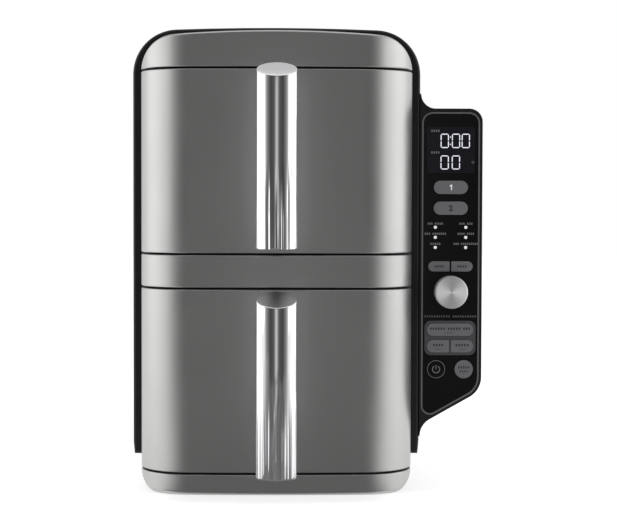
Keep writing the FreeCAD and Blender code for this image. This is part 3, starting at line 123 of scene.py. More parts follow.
def noise_at(tree, sizes_mm, detail=2.0):
    """Noise on object coordinates, with blobs of these sizes along x, y and z."""
    place = add_node(tree, "ShaderNodeTexCoord")
    scale = [1 / (size * MM) for size in sizes_mm]
    scaled = add_node(tree, "ShaderNodeVectorMath", {"operation": "MULTIPLY"},
                      {0: place.outputs["Object"], 1: scale})
    return add_node(tree, "ShaderNodeTexNoise", Vector=scaled.outputs[0], Scale=1.0, Detail=detail)


NOISE_LOW, NOISE_HIGH = 0.3, 0.7


def ranged(tree, value, low, high):
    """Spreads the middle part of a noise, where most of its values lie, over a range."""
    return add_node(tree, "ShaderNodeMapRange", Value=value, From_Min=NOISE_LOW, From_Max=NOISE_HIGH,
                    To_Min=low, To_Max=high).outputs["Result"]


print("helpers ready")

# %% [markdown]
# ## One recipe for most surfaces
# Moulded plastic, paint and rubber differ in three things: the size and depth of their grain, how far
# their gloss wanders, and how much their colour does. The recipe takes those as numbers in millimetres,
# because a grain that is right in millimetres stays right when the part is used at another size.

# %% Surface recipe
CLOUD_MM = 35
SMOOTHEST = 0.02


def surface(name, colour, roughness, grain_mm, depth_mm, tint=0.05, wander=0.06, **values):
    """Material with a fine grain in its bump and colour, and a gloss that wanders in large clouds.

    The three numbers after the colour are the roughness and the grain's size and depth.
    """
    material, tree, shader = new_material(name, colour, **values)
    sizes = grain_mm if isinstance(grain_mm, tuple) else (grain_mm,) * 3
    fine = noise_at(tree, sizes)
    bump = add_node(tree, "ShaderNodeBump", Height=fine.outputs["Fac"], Distance=depth_mm * MM,
                    Strength=1.0)
    tree.links.new(bump.outputs["Normal"], shader.inputs["Normal"])
    cloud = noise_at(tree, (CLOUD_MM,) * 3, 3.0)
    gloss = ranged(tree, cloud.outputs["Fac"], max(roughness - wander, SMOOTHEST), roughness + wander)
    tree.links.new(gloss, shader.inputs["Roughness"])
    base = linear(colour)
    dark = [channel * (1 - tint) for channel in base[:3]] + [1.0]
    light = [min(channel * (1 + tint), 1.0) for channel in base[:3]] + [1.0]
    mix = add_node(tree, "ShaderNodeMix", {"data_type": "RGBA"},
                   {0: ranged(tree, fine.outputs["Fac"], 0.0, 1.0), 6: dark, 7: light})
    tree.links.new(mix.outputs[2], shader.inputs["Base Color"])
    return material


print("surface recipe ready")

# %% [markdown]
# ## The metallic front and the black casing
# The front is steel under a satin metallic lacquer: a metal with a soft gloss and tiny flakes. The casing
# is sheet steel under black satin paint, and the pod is black moulded plastic with a fine spark-eroded
# grain. The panel is black acrylic, which is nearly smooth, so its gloss carries the look and its grain
# is only a trace of polishing. The comment over each material says what it gives the eye.

# %% Front, casing and panel materials
# Broad soft highlights down the rounded corners, over a mid grey.
lacquer = surface("metallic_lacquer", "#b2b2b1", 0.41, 0.35, 0.002, tint=0.04, wander=0.02, Metallic=1.0)
# A deep black with a wide dull sheen along the arch.
casing_paint = surface("casing_paint", "#121213", 0.46, 0.7, 0.02,
                       tint=0.12, wander=0.015, Specular_IOR_Level=0.35)
# A matt black that shows a little grain close up.
black_abs = surface("black_abs", "#1a1a1b", 0.5, 0.9, 0.03, tint=0.1, wander=0.02)
# A smoother black than the rest, so that the pod stands apart from the casing.
pod_abs = surface("pod_abs", "#181818", 0.44, 0.6, 0.01, Specular_IOR_Level=0.35)
# Nearly black, with a sharp reflection of the room.
acrylic = surface("panel_acrylic", "#0f0f10", 0.14, 2.0, 0.001,
                  tint=0.1, wander=0.03, Specular_IOR_Level=0.3)
# A shade lighter and bluer than the panel, so that the window shows.
window = surface("display_acrylic", "#1e1d23", 0.1, 2.0, 0.001,
                 tint=0.1, wander=0.02, Specular_IOR_Level=0.3)
# A thin bright line round the panel.
trim_paint = surface("trim_paint", "#7c7c7f", 0.38, 0.4, 0.003, Metallic=0.4)
# A dark grey field under the three buttons.
surround_abs = surface("surround_abs", "#4b4a4e", 0.5, 0.4, 0.006)
# A dull grey that the finger would not slip on.
button_abs = surface("button_abs", "#747377", 0.52, 0.3, 0.006)
print("front, casing and panel materials ready")

# %% [markdown]
# ## Plated and turned metal
# Chrome is a mirror with faint polishing lines along the bar, so the noise is stretched along z. The cut
# top of each handle is blasted and reflects softly. The dial was faced on a lathe: its grooves run in
# rings, and light smears across them. The shader does that by anisotropy, with a tangent that points
# straight out from the dial's axis, so that the sheen fans out from the middle. A painted sheen, a colour
# that is paler to the left and right of the middle, strengthens the fan.

# %% Chrome, satin and turned aluminium
# A mirror: white edges, dark bands and a bright line down the middle.
chrome = surface("chrome_plate", "#ececee", 0.06, (3.0, 3.0, 260), 0.001,
                 tint=0.02, wander=0.025, Metallic=1.0)
# An even pale disc on top of each handle.
satin = surface("satin_plate", "#dedee0", 0.27, 0.25, 0.0012, tint=0.03, wander=0.03, Metallic=1.0)

# A fan of light round the middle, partly a painted sheen in the colour, on a face cut into fine rings.
GROOVE = 0.25 * MM
turned, tree, shader = new_material("turned_aluminium", "#f0f0f0", Metallic=0.4, Anisotropic=0.9)
place = add_node(tree, "ShaderNodeTexCoord")
arm = add_node(tree, "ShaderNodeVectorMath", {"operation": "SUBTRACT"},
               {0: place.outputs["Object"], 1: middle("dial_knob")})
outward = add_node(tree, "ShaderNodeVectorMath", {"operation": "MULTIPLY"},
                   {0: arm.outputs[0], 1: (1.0, 0.0, 1.0)})
tree.links.new(outward.outputs[0], shader.inputs["Tangent"])
# Painted sheen: the base colour is white to the left and right of the middle and greyer above and below it.
aim = add_node(tree, "ShaderNodeVectorMath", {"operation": "NORMALIZE"}, {0: outward.outputs[0]})
side = add_node(tree, "ShaderNodeVectorMath", {"operation": "DOT_PRODUCT"},
                {0: aim.outputs[0], 1: (1.0, 0.0, 0.0)})
across = add_node(tree, "ShaderNodeMath", {"operation": "POWER"}, {0: side.outputs["Value"], 1: 2.0})
painted_sheen = add_node(tree, "ShaderNodeMix", {"data_type": "RGBA"},
                 {0: across.outputs[0], 6: linear("#bebebf"), 7: linear("#ffffff")})
tree.links.new(painted_sheen.outputs[2], shader.inputs["Base Color"])
radius = add_node(tree, "ShaderNodeVectorMath", {"operation": "LENGTH"}, {0: outward.outputs[0]})
groove = add_node(tree, "ShaderNodeTexNoise", {"noise_dimensions": "1D"},
                  W=radius.outputs["Value"], Scale=1 / GROOVE, Detail=1.0)
tree.links.new(ranged(tree, groove.outputs["Fac"], 0.56, 0.66), shader.inputs["Roughness"])
print("metals ready")

# %% [markdown]
# ## Working parts and light
# The inside shows when a drawer is pulled out: a dark non-stick coat with pale flecks, galvanised sheet,
# a heater tube browned by use, cast and stamped fan parts, silicone and rubber. The lamps and digits glow
# a little less than white, so that they keep their shape in the picture.

# %% Inside materials
# Grey sheet with the large soft flakes of galvanising.
zinc = surface("zinc_sheet", "#a5a7a9", 0.38, 6.0, 0.004, tint=0.12, wander=0.08, Metallic=1.0)
# Charcoal with pale flecks.
non_stick = surface("non_stick_coat", "#2c2c2e", 0.42, 0.5, 0.01, tint=0.55, wander=0.08)
# A soft dark grey without shine.
silicone = surface("silicone", "#333335", 0.62, 0.6, 0.01)
# The dullest black of all.
rubber = surface("foot_rubber", "#1a1a1a", 0.72, 0.8, 0.03)
# The green of a circuit board.
laminate = surface("board_laminate", "#1f5a35", 0.4, 1.6, 0.02, tint=0.3)
# Brownish steel, uneven from heat.
heater_tube = surface("heater_tube", "#5d5650", 0.44, 5.0, 0.01, tint=0.35, wander=0.1, Metallic=1.0)
# Plain grey metal.
motor_steel = surface("motor_steel", "#7a7b7d", 0.42, 1.2, 0.01, tint=0.08, Metallic=0.9)
# Blackened steel: dark, with small keen highlights.
oxide_steel = surface("oxide_steel", "#3c3c3f", 0.36, 0.6, 0.004, tint=0.1, wander=0.05, Metallic=1.0)
# Light cast aluminium.
fan_metal = surface("fan_aluminium", "#c2c3c5", 0.34, 1.5, 0.004, tint=0.06, Metallic=1.0)
# Small white lamps.
lamp_glow = surface("lamp_glow", "#d8d8da", 0.3, 0.4, 0.002, tint=0.03, Emission_Color=linear("#fbfbff"),
                    Emission_Strength=0.4)
# Cool white digits.
digit_glow = surface("digit_glow", "#d8dae2", 0.4, 0.3, 0.002,
                     tint=0.03, Emission_Color=linear("#e9ecf8"), Emission_Strength=0.7)
print("inside materials ready")

# %% [markdown]
# ## Inks
# The marks on the panel are printed with a pad, so each ink is a thin coat with a trace of the pad's
# grain. One ink is pale for the black panel, one is dark for the grey buttons, and a faint one shows the
# segments of the display that are switched off.

# %% Inks
# Marks that read clearly on black.
pale_ink = surface("pale_ink", "#78787a", 0.5, 0.3, 0.002)
# Marks that read faintly on black.
soft_ink = surface("soft_ink", "#565658", 0.5, 0.3, 0.002)
# Marks that read on the grey buttons.
dark_ink = surface("dark_ink", "#2b2b2e", 0.5, 0.3, 0.002)
# The bright numeral of the zone that is on.
white_ink = surface("white_ink", "#e4e4e6", 0.5, 0.3, 0.002, Emission_Color=linear("#ffffff"),
                    Emission_Strength=0.35)
# Segments that are off, just seen.
ghost_ink = surface("ghost_ink", "#1d1c22", 0.2, 0.3, 0.001, Specular_IOR_Level=0.3)
print("inks ready")

# %% [markdown]
# ## Dressing the nodes
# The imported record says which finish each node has, so one table from finish to material dresses them
# all. Two nodes differ from their finish: the pod's housing has a finer grain than the other black
# plastic, and the power button is black acrylic like the face round it.

# %% Materials on the nodes
MATERIAL_OF_SLOT = {
    "metallic_front": lacquer, "casing_black": casing_paint, "black_plastic": black_abs,
    "steel_sheet": zinc, "rubber": rubber, "silicone": silicone, "circuit_board": laminate,
    "panel_gloss": acrylic, "trim_grey": trim_paint, "surround_grey": surround_abs,
    "display_glass": window, "display_module": window, "lamp_white": lamp_glow,
    "encoder_steel": motor_steel, "dial_silver": turned, "button_grey": button_abs,
    "non_stick": non_stick, "chrome": chrome, "heater_steel": heater_tube,
    "motor_grey": motor_steel, "fan_aluminium": fan_metal, "fan_plastic": black_abs,
}
MATERIAL_OF_NODE = {"pod_housing": pod_abs, "power_button": acrylic}
for subpart in frame["record"]["subparts"]:
    node = subpart["node"]
    mesh = nodes[node].data
    mesh.materials.clear()
    mesh.materials.append(MATERIAL_OF_NODE.get(node, MATERIAL_OF_SLOT[subpart["material_slot"]]))

# %% [markdown]
# ## Handles with a satin top
# A node keeps one mesh, so a second finish on some of its faces needs a copy that stands for it. The copy
# joins the loose triangles of the CAD mesh first, so that its round faces shade smoothly. It has two
# material slots, and the faces that look up on the slanted end take the second one. The bar is polished
# along its length, and the lines show most near its lower end.

# %% Handles
def add_piece(name, mesh, body):
    """Puts a mesh into the scene as a piece that rides on a body."""
    piece = bpy.data.objects.new(name, mesh)
    bpy.context.collection.objects.link(piece)
    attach(piece, body)
    return piece


WELD = 0.001 * MM
SHARP_ANGLE = math.radians(32)


def merged_copy(node):
    """Copy of a node's mesh with its loose triangles joined and its round faces shaded smooth."""
    mesh = nodes[node].data.copy()
    maker = bmesh.new()
    maker.from_mesh(mesh)
    bmesh.ops.remove_doubles(maker, verts=maker.verts, dist=WELD)
    maker.to_mesh(mesh)
    maker.free()
    mesh.shade_smooth()
    mesh.set_sharp_from_angle(angle=SHARP_ANGLE)
    return mesh


# The real lines are far too fine to show, so they are drawn some millimetres wide and this deep. They are
# at their deepest up to one share of the handle's height and have faded to a trace at the other.
STREAK_DEPTH = {"upper": 1.1 * MM, "lower": 1.9 * MM}
STREAK_TRACE = 0.004 * MM
STREAK_FULL, STREAK_GONE = 0.12, 0.5


def streaked_chrome(zone):
    """Chrome whose polishing lines are deep near the lower end of a handle and fade towards its top."""
    material = chrome.copy()
    material.name = zone + "_chrome_plate"
    tree = material.node_tree
    low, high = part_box(zone + "_handle")
    place = add_node(tree, "ShaderNodeTexCoord")
    level = add_node(tree, "ShaderNodeSeparateXYZ", Vector=place.outputs["Object"])
    tall = high.z - low.z
    deep = add_node(tree, "ShaderNodeMapRange", {"interpolation_type": "SMOOTHSTEP"},
                    Value=level.outputs["Z"], From_Min=low.z + STREAK_FULL * tall,
                    From_Max=low.z + STREAK_GONE * tall, To_Min=STREAK_DEPTH[zone], To_Max=STREAK_TRACE)
    bump = next(node for node in tree.nodes if node.bl_idname == "ShaderNodeBump")
    tree.links.new(deep.outputs["Result"], bump.inputs["Distance"])
    return material


SATIN_LEAN = 0.8
for zone in ZONES:
    mesh = merged_copy(zone + "_handle")
    mesh.materials.clear()
    mesh.materials.append(streaked_chrome(zone))
    mesh.materials.append(satin)
    tops = [polygon for polygon in mesh.polygons if polygon.normal.z > SATIN_LEAN]
    for polygon in tops:
        polygon.material_index = 1
    piece = add_piece(zone + "_handle_plated", mesh, zone + "_drawer")
    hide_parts(zone + "_handle")
    print(piece.name, "with", len(tops), "satin faces")

# %% [markdown]
# ## Stamps
# A mark that repeats is drawn once as a stamp and copied to points. The stamps are closed plates: a dash
# with rounded ends, and a bar with pointed ends for the digits. They are one unit long, and each point
# says how wide, thick and high its copy is.

# %% Stamps for the marks
def plate(name, outline):
    """Closed plate one unit thick along y, with this outline of (x, z) points."""
    mesh_maker = bmesh.new()
    front = [mesh_maker.verts.new((x, -0.5, z)) for x, z in outline]
    back = [mesh_maker.verts.new((x, 0.5, z)) for x, z in outline]
    count = len(outline)
    mesh_maker.faces.new(front)
    mesh_maker.faces.new(back[::-1])
    for index in range(count):
        following = (index + 1) % count
        mesh_maker.faces.new((front[following], front[index], back[index], back[following]))
    bmesh.ops.recalc_face_normals(mesh_maker, faces=mesh_maker.faces)
    mesh = bpy.data.meshes.new(name)
    mesh_maker.to_mesh(mesh)
    mesh_maker.free()
    return bpy.data.objects.new(name, mesh)


def rounded_dash(corner=0.22, steps=4):
    """Outline of a unit square with rounded corners."""
    points = []
    for quarter, (side_x, side_z) in enumerate(((1, 1), (-1, 1), (-1, -1), (1, -1))):
        for step in range(steps + 1):
            angle = math.pi / 2 * (quarter + step / steps)
            points.append((side_x * (0.5 - corner) + corner * math.cos(angle),
                           side_z * (0.5 - corner) + corner * math.sin(angle)))
    return points


POINT = 0.085
dash_stamp = plate("dash_stamp", rounded_dash())
bar_stamp = plate("bar_stamp", [(-0.5, 0), (POINT - 0.5, -0.5), (0.5 - POINT, -0.5), (0.5, 0),
                                (0.5 - POINT, 0.5), (POINT - 0.5, 0.5)])
print("stamps with", len(dash_stamp.data.vertices), "and", len(bar_stamp.data.vertices), "points")

# %% [markdown]
# ## Copies on points
# This is a job for Geometry Nodes: one small group puts a copy of the stamp on every point, turns it and
# sizes it by values stored on the point, makes the copies real and sets their ink. The result is turned
# into a plain mesh, so that the piece carries no modifiers.

# %% Node group that copies a stamp to points
def build_copier():
    """Node group that puts a turned and sized copy of a stamp on every point."""
    group = bpy.data.node_groups.new("stamp_on_points", "GeometryNodeTree")
    for name, kind in (("Points", "Geometry"), ("Stamp", "Object"), ("Ink", "Material")):
        group.interface.new_socket(name, in_out="INPUT", socket_type="NodeSocket" + kind)
    group.interface.new_socket("Copies", in_out="OUTPUT", socket_type="NodeSocketGeometry")
    start = group.nodes.new("NodeGroupInput")
    end = group.nodes.new("NodeGroupOutput")
    stamp = add_node(group, "GeometryNodeObjectInfo", Object=start.outputs["Stamp"])
    turn = add_node(group, "GeometryNodeInputNamedAttribute", {"data_type": "FLOAT_VECTOR"}, Name="turn")
    size = add_node(group, "GeometryNodeInputNamedAttribute", {"data_type": "FLOAT_VECTOR"}, Name="size")
    rotation = add_node(group, "FunctionNodeEulerToRotation", Euler=turn.outputs["Attribute"])
    copies = add_node(group, "GeometryNodeInstanceOnPoints", Points=start.outputs["Points"],
                      Instance=stamp.outputs["Geometry"], Rotation=rotation.outputs["Rotation"],
                      Scale=size.outputs["Attribute"])
    real = add_node(group, "GeometryNodeRealizeInstances", Geometry=copies.outputs["Instances"])
    inked = add_node(group, "GeometryNodeSetMaterial", Geometry=real.outputs["Geometry"],
                     Material=start.outputs["Ink"])
    group.links.new(inked.outputs["Geometry"], end.inputs["Copies"])
    return group


COPIER = build_copier()
COPIER_INPUTS = {item.name: item.identifier for item in COPIER.interface.items_tree
                 if item.in_out == "INPUT"}


def stamped(name, stamp, spots, ink, body):
    """Piece made of copies of a stamp, one for each spot of (place, turn about y, size in metres)."""
    points = bpy.data.meshes.new(name + "_points")
    points.from_pydata([place for place, turn, size in spots], [], [])
    for key, values in (("turn", [(0, turn, 0) for place, turn, size in spots]),
                        ("size", [size for place, turn, size in spots])):
        stored = points.attributes.new(key, "FLOAT_VECTOR", "POINT")
        for item, value in zip(stored.data, values):
            item.vector = value
    holder = bpy.data.objects.new(name + "_points", points)
    bpy.context.collection.objects.link(holder)
    modifier = holder.modifiers.new("copies", "NODES")
    modifier.node_group = COPIER
    modifier[COPIER_INPUTS["Stamp"]] = stamp
    modifier[COPIER_INPUTS["Ink"]] = ink
    mesh = bpy.data.meshes.new_from_object(holder.evaluated_get(bpy.context.evaluated_depsgraph_get()))
    mesh.name = name
    bpy.data.objects.remove(holder)
    print(name, "from", len(spots), "copies,", len(mesh.polygons), "faces")
    return add_piece(name, mesh, body)


INK_THICK = 0.04 * MM


def on_face(place, across, up):
    """Point on a flat front, this many millimetres to the right of a place and above it."""
    return Vector((place.x + across * MM, place.y - INK_THICK / 2, place.z + up * MM))


print("copier ready")

# %% [markdown]
# ## Digits on the display
# A digit of a display has seven bars. Lit bars make the time, 0:00, and the number below it, 00. The bars
# that are off still show faintly behind tinted acrylic, so they get the ghost ink. The colon is two dots.

# %% Display digits
DIGIT_WIDE, DIGIT_STROKE = 6.8, 0.74
DIGIT_GAP = 0.25


def digit_bars(left, level, height, wanted):
    """Bars of one digit: its left side and its middle level from the display's middle, in millimetres."""
    middle_x, side = left + DIGIT_WIDE / 2, (DIGIT_WIDE - DIGIT_STROKE) / 2
    flat_long = DIGIT_WIDE - DIGIT_STROKE - 2 * DIGIT_GAP
    tall_long = (height - DIGIT_STROKE) / 2 - 2 * DIGIT_GAP
    rise = (height - DIGIT_STROKE) / 2
    flats = {"top": rise, "centre": 0.0, "bottom": -rise}
    bars = [(middle_x, up, 0.0, flat_long) for key, up in flats.items() if key in wanted]
    if "sides" in wanted:
        bars += [(middle_x + s * side, r * rise / 2, math.pi / 2, tall_long)
                 for s in (-1, 1) for r in (-1, 1)]
    spots = []
    for across, up, turn, long in bars:
        size = (long * MM, INK_THICK, DIGIT_STROKE * MM)
        spots.append((on_face(DISPLAY, across, level + up), turn, size))
    return spots


DISPLAY = on_front("display_lens")
ZERO = ("top", "bottom", "sides")
EIGHT = ZERO + ("centre",)
TIME_LEVEL, TIME_HIGH = 7.4, 11.8
HEAT_LEVEL, HEAT_HIGH = -10.4, 11.5
OFF_LEFT, LEFT, MIDDLE, RIGHT = -16.4, -8.6, 0.7, 8.8
COLON_ACROSS, COLON_RISES, COLON_DOT = -0.55, (-2.9, 3.1), 0.9
lit, ghosts = [], []
for left in (LEFT, MIDDLE, RIGHT):
    lit += digit_bars(left, TIME_LEVEL, TIME_HIGH, ZERO)
    ghosts += digit_bars(left, TIME_LEVEL, TIME_HIGH, ("centre",))
for left in (LEFT, MIDDLE):
    lit += digit_bars(left, HEAT_LEVEL, HEAT_HIGH, ZERO)
    ghosts += digit_bars(left, HEAT_LEVEL, HEAT_HIGH, ("centre",))
ghosts += digit_bars(OFF_LEFT, TIME_LEVEL, TIME_HIGH, EIGHT)
ghosts += digit_bars(OFF_LEFT, HEAT_LEVEL, HEAT_HIGH, EIGHT)
ghosts += digit_bars(RIGHT, HEAT_LEVEL, HEAT_HIGH, EIGHT)
stamped("display_digits", bar_stamp, lit, digit_glow, "body")
stamped("display_off_bars", bar_stamp, ghosts, ghost_ink, "body")
dot_size = (COLON_DOT * MM, INK_THICK, COLON_DOT * MM)
dots = [(on_face(DISPLAY, COLON_ACROSS, TIME_LEVEL + up), 0.0, dot_size) for up in COLON_RISES]
stamped("display_dots", dash_stamp, dots, digit_glow, "body")

# %% [markdown]
# ## Rows of dashes in the place of words
# The panel carries words, and this part carries none. Each word is a row of short dashes that is as wide
# and as high as the word, so that the panel keeps its rhythm of small marks. One function lays out a row
# from the number of dashes in each of its groups.

# %% Label rows
DASH_FILL = 0.6
GROUP_GAP = 0.8


def dash_row(place, across, up, wide, high, groups):
    """Spots of one label: groups of dashes, centred on a point, filling a width in millimetres."""
    pitch = wide / (sum(groups) + GROUP_GAP * (len(groups) - 1))
    left, spots = across - wide / 2, []
    for count in groups:
        for index in range(count):
            size = (DASH_FILL * pitch * MM, INK_THICK, high * MM)
            spots.append((on_face(place, left + (index + 0.5) * pitch, up), 0.0, size))
        left += (count + GROUP_GAP) * pitch
    return spots


LAMP_RADIUS = 1.25 * MM
LAMP_LABEL_RISE, LAMP_LABEL_HIGH = 3.0, 1.8
lamp_low, lamp_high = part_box("mode_lamps")
lamp_sides = (lamp_low.x + LAMP_RADIUS, lamp_high.x - LAMP_RADIUS)
lamp_top, lamp_bottom = lamp_high.z - LAMP_RADIUS, lamp_low.z + LAMP_RADIUS
lamp_rows = (lamp_top, (lamp_top + lamp_bottom) / 2, lamp_bottom)
# Width of each label and the dashes in its groups, left and right of the panel's middle
LAMP_LABELS = (((13.2, (3, 5)), (11.6, (3, 3))),
               ((18.2, (3, 7)), (14.0, (4, 4))),
               ((9.1, (5,)), (20.7, (3, 9))))
spots = []
for level, row in zip(lamp_rows, LAMP_LABELS):
    for side, (wide, groups) in zip(lamp_sides, row):
        spots += dash_row(Vector((side, FACE.y, level)), 0, LAMP_LABEL_RISE, wide, LAMP_LABEL_HIGH, groups)
stamped("lamp_labels", dash_stamp, spots, pale_ink, "body")
over_surround = Vector((FACE.x, FACE.y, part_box("button_surround")[1].z))
spots = dash_row(over_surround, 0, 3.6, 44.0, 1.6, (11, 10))
stamped("dial_labels", dash_stamp, spots, soft_ink, "body")
DISPLAY_LABEL = (7.4, 1.9, (4,))
spots = [spot for up in (15.6, -2.2) for spot in dash_row(DISPLAY, -13.0, up, *DISPLAY_LABEL)]
stamped("display_labels", dash_stamp, spots, pale_ink, "body")

# %% [markdown]
# ## Marks on the buttons
# A mark on a button moves with the button when it is pressed, so each button gets a piece of its own that
# rides on its body. The dashes are dark on the grey buttons.

# %% Button labels
# Rows of each button: across and up from its middle, width, height, and the dashes in each group
BUTTON_LABELS = {
    "temperature": [(0, 0, 8.3, 2.0, (4,))],
    "time": [(0, 0, 8.3, 2.0, (4,))],
    "stack": [(0, 0.9, 34.0, 2.0, (6, 5, 3)), (0, -2.6, 6.0, 0.6, (4,))],
    "sync": [(0, 0.9, 9.1, 2.0, (4,)), (0, -2.6, 5.0, 0.6, (4,))],
    "match": [(0, 0.9, 11.6, 2.0, (5,)), (0, -2.6, 5.0, 0.6, (4,))],
    "start": [(0, 1.5, 9.9, 2.0, (5,)), (0, -1.8, 7.5, 1.5, (4,))],
}
for key, rows in BUTTON_LABELS.items():
    body = key + "_button"
    spots = [spot for row in rows for spot in dash_row(on_front(body), *row)]
    stamped(key + "_marks", dash_stamp, spots, dark_ink, body)

# %% [markdown]
# ## Numbers on the zone buttons
# The two zone buttons are numbered. The 1 has straight sides only, so it is one more stamp, a stroke with
# a flag at its top. The 2 has curves, and a text curve with a little extrusion is the short way to it. The
# text is turned to face forwards, moved to its button and kept as a mesh.

# %% Zone numbers
CAP_SHARE = 0.7
FATTEN = 0.24 * MM


def numeral(name, text, place, high_mm, ink, body):
    """Printed number of this height, centred on a place on a front."""
    curve = bpy.data.curves.new(name, "FONT")
    curve.body = text
    curve.size = high_mm * MM / CAP_SHARE
    curve.extrude = INK_THICK / 2
    curve.offset = FATTEN
    curve.resolution_u = 6
    holder = bpy.data.objects.new(name + "_curve", curve)
    bpy.context.collection.objects.link(holder)
    mesh = bpy.data.meshes.new_from_object(holder.evaluated_get(bpy.context.evaluated_depsgraph_get()))
    bpy.data.objects.remove(holder)
    mesh.name = name
    mesh.transform(Matrix.Rotation(math.pi / 2, 4, "X"))
    corners = [vertex.co.copy() for vertex in mesh.vertices]
    centre = Vector([(min(c[i] for c in corners) + max(c[i] for c in corners)) / 2 for i in range(3)])
    mesh.transform(Matrix.Translation(place - centre))
    mesh.materials.clear()
    mesh.materials.append(ink)
    print(name, "with", len(mesh.polygons), "faces")
    return add_piece(name, mesh, body)


NUMBER_HIGH, ONE_WIDE = 4.6, 1.9
one_stamp = plate("one_stamp", [(0.1, -0.5), (0.5, -0.5), (0.5, 0.5), (0.15, 0.5), (-0.5, 0.3), (-0.5, 0.1),
                                (0.1, 0.26)])
spots = [(on_face(on_front("zone_1_button"), 0, 0), 0.0, (ONE_WIDE * MM, INK_THICK, NUMBER_HIGH * MM))]
stamped("zone_1_number", one_stamp, spots, white_ink, "zone_1_button")
two_place = on_face(on_front("zone_2_button"), 0, 0)
numeral("zone_2_number", "2", two_place, NUMBER_HIGH, dark_ink, "zone_2_button")

# %% [markdown]
# ## The power button and the small ring
# A ring on a panel is a closed band: four points at each step round the circle, joined to the next step.
# A full circle joins its last step to its first, and an open ring gets two end caps. The power mark is an
# open ring with a dash through its gap.

# %% Rings and the power mark
def ring_into(maker, place, radius, width, start=0.0, sweep=360.0, steps=56):
    """Adds a flat ring or a part of one to a mesh, in degrees from the right and anticlockwise."""
    closed = sweep >= 360.0
    loops = []
    for index in range(steps if closed else steps + 1):
        angle = math.radians(start + sweep * index / steps)
        loop = []
        for size, depth in ((-1, -1), (1, -1), (1, 1), (-1, 1)):
            reach = (radius + size * width / 2) * MM
            loop.append(maker.verts.new((place.x + reach * math.cos(angle), place.y + depth * INK_THICK / 2,
                                         place.z + reach * math.sin(angle))))
        loops.append(loop)
    pairs = list(zip(loops, loops[1:] + loops[:1])) if closed else list(zip(loops, loops[1:]))
    for near, far in pairs:
        for side in range(4):
            following = (side + 1) % 4
            maker.faces.new((near[side], near[following], far[following], far[side]))
    if not closed:
        maker.faces.new(loops[0][::-1])
        maker.faces.new(loops[-1])


def rings(name, parts, ink, body):
    """Piece made of rings; each part is (place, radius, width) with an optional start and sweep."""
    maker = bmesh.new()
    for part in parts:
        ring_into(maker, *part)
    bmesh.ops.recalc_face_normals(maker, faces=maker.faces)
    mesh = bpy.data.meshes.new(name)
    maker.to_mesh(mesh)
    maker.free()
    mesh.materials.append(ink)
    print(name, "with", len(mesh.polygons), "faces")
    return add_piece(name, mesh, body)


# Radius and width of the ring round the button, and of the mark with the start and sweep of its arc
BUTTON_RING, POWER_ARC = (7.2, 0.45), (3.0, 0.75, 122, 296)
STEM_WIDE, STEM_HIGH, STEM_RISE = 0.75, 3.7, 1.75
power = on_face(on_front("power_button"), 0, 0)
power_parts = [(power, *BUTTON_RING), (power, *POWER_ARC)]
rings("power_rings", power_parts, pale_ink, "power_button")
stem_size = (STEM_WIDE * MM, INK_THICK, STEM_HIGH * MM)
stem = [(on_face(on_front("power_button"), 0, STEM_RISE), 0.0, stem_size)]
stamped("power_stem", dash_stamp, stem, pale_ink, "power_button")
rings("display_ring", [(on_face(DISPLAY, 18.2, -10.2), 0.85, 0.35)], pale_ink, "body")

# %% [markdown]
# ## Screws on the rear cover
# Screws hold the rear cover to the side frames. A screw head is a stack of rings round its axis: the rim,
# the rounded edge, and a six-sided socket that goes down into the head. The socket's ring has its points
# on a hexagon, so that every ring can have the same number of points. The copier sets the screws in two
# columns beside the wall spacers.

# %% Rear screws
SPACER_DEPTH = 10.0 * MM
SCREW_INSET = 12.0 * MM
SCREW_SHARES = (0.22, 0.5, 0.78)
SCREW_STEPS = 24
# Rings of a head from the cover outwards and down into the socket: radius, height, and six-sided or round
HEAD_RINGS = ((3.4, 0.0, False), (3.4, 0.9, False), (3.1, 1.4, False), (2.6, 1.6, False),
              (1.3, 1.6, True), (1.3, 0.5, True))


def hexagon_reach(angle, half_flat):
    """Distance from a hexagon's middle to its edge at an angle; half_flat is half the width over flats."""
    return half_flat / math.cos((angle % (math.pi / 3)) - math.pi / 6)


def screw_head():
    """Pan head with a hexagon socket, looking along y, at its real size."""
    maker = bmesh.new()
    loops = []
    for radius, height, six_sided in HEAD_RINGS:
        loop = []
        for index in range(SCREW_STEPS):
            angle = 2 * math.pi * index / SCREW_STEPS
            reach = (hexagon_reach(angle, radius) if six_sided else radius) * MM
            point = (reach * math.cos(angle), height * MM, reach * math.sin(angle))
            loop.append(maker.verts.new(point))
        loops.append(loop)
    for near, far in zip(loops, loops[1:]):
        for index in range(SCREW_STEPS):
            following = (index + 1) % SCREW_STEPS
            maker.faces.new((near[index], near[following], far[following], far[index]))
    maker.faces.new(loops[0])
    maker.faces.new(loops[-1])
    bmesh.ops.recalc_face_normals(maker, faces=maker.faces)
    mesh = bpy.data.meshes.new("screw_stamp")
    maker.to_mesh(mesh)
    maker.free()
    return bpy.data.objects.new("screw_stamp", mesh)


cover_low, cover_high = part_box("rear_cover")
cover_back = cover_high.y - SPACER_DEPTH
screw_levels = [cover_low.z + share * (cover_high.z - cover_low.z) for share in SCREW_SHARES]
screw_sides = (cover_low.x + SCREW_INSET, cover_high.x - SCREW_INSET)
spots = [(Vector((x, cover_back, z)), 0.0, (1, 1, 1)) for x in screw_sides for z in screw_levels]
stamped("rear_screws", screw_head(), spots, oxide_steel, "body")

# %% [markdown]
# ## Camera
# The photograph was taken from straight ahead, a little above the middle, with a long lens. The numbers
# come from a fit of the object's known edges to their places in the photograph. The lens is written as a
# distance in pixels, which a sensor of 36 mm turns into millimetres.

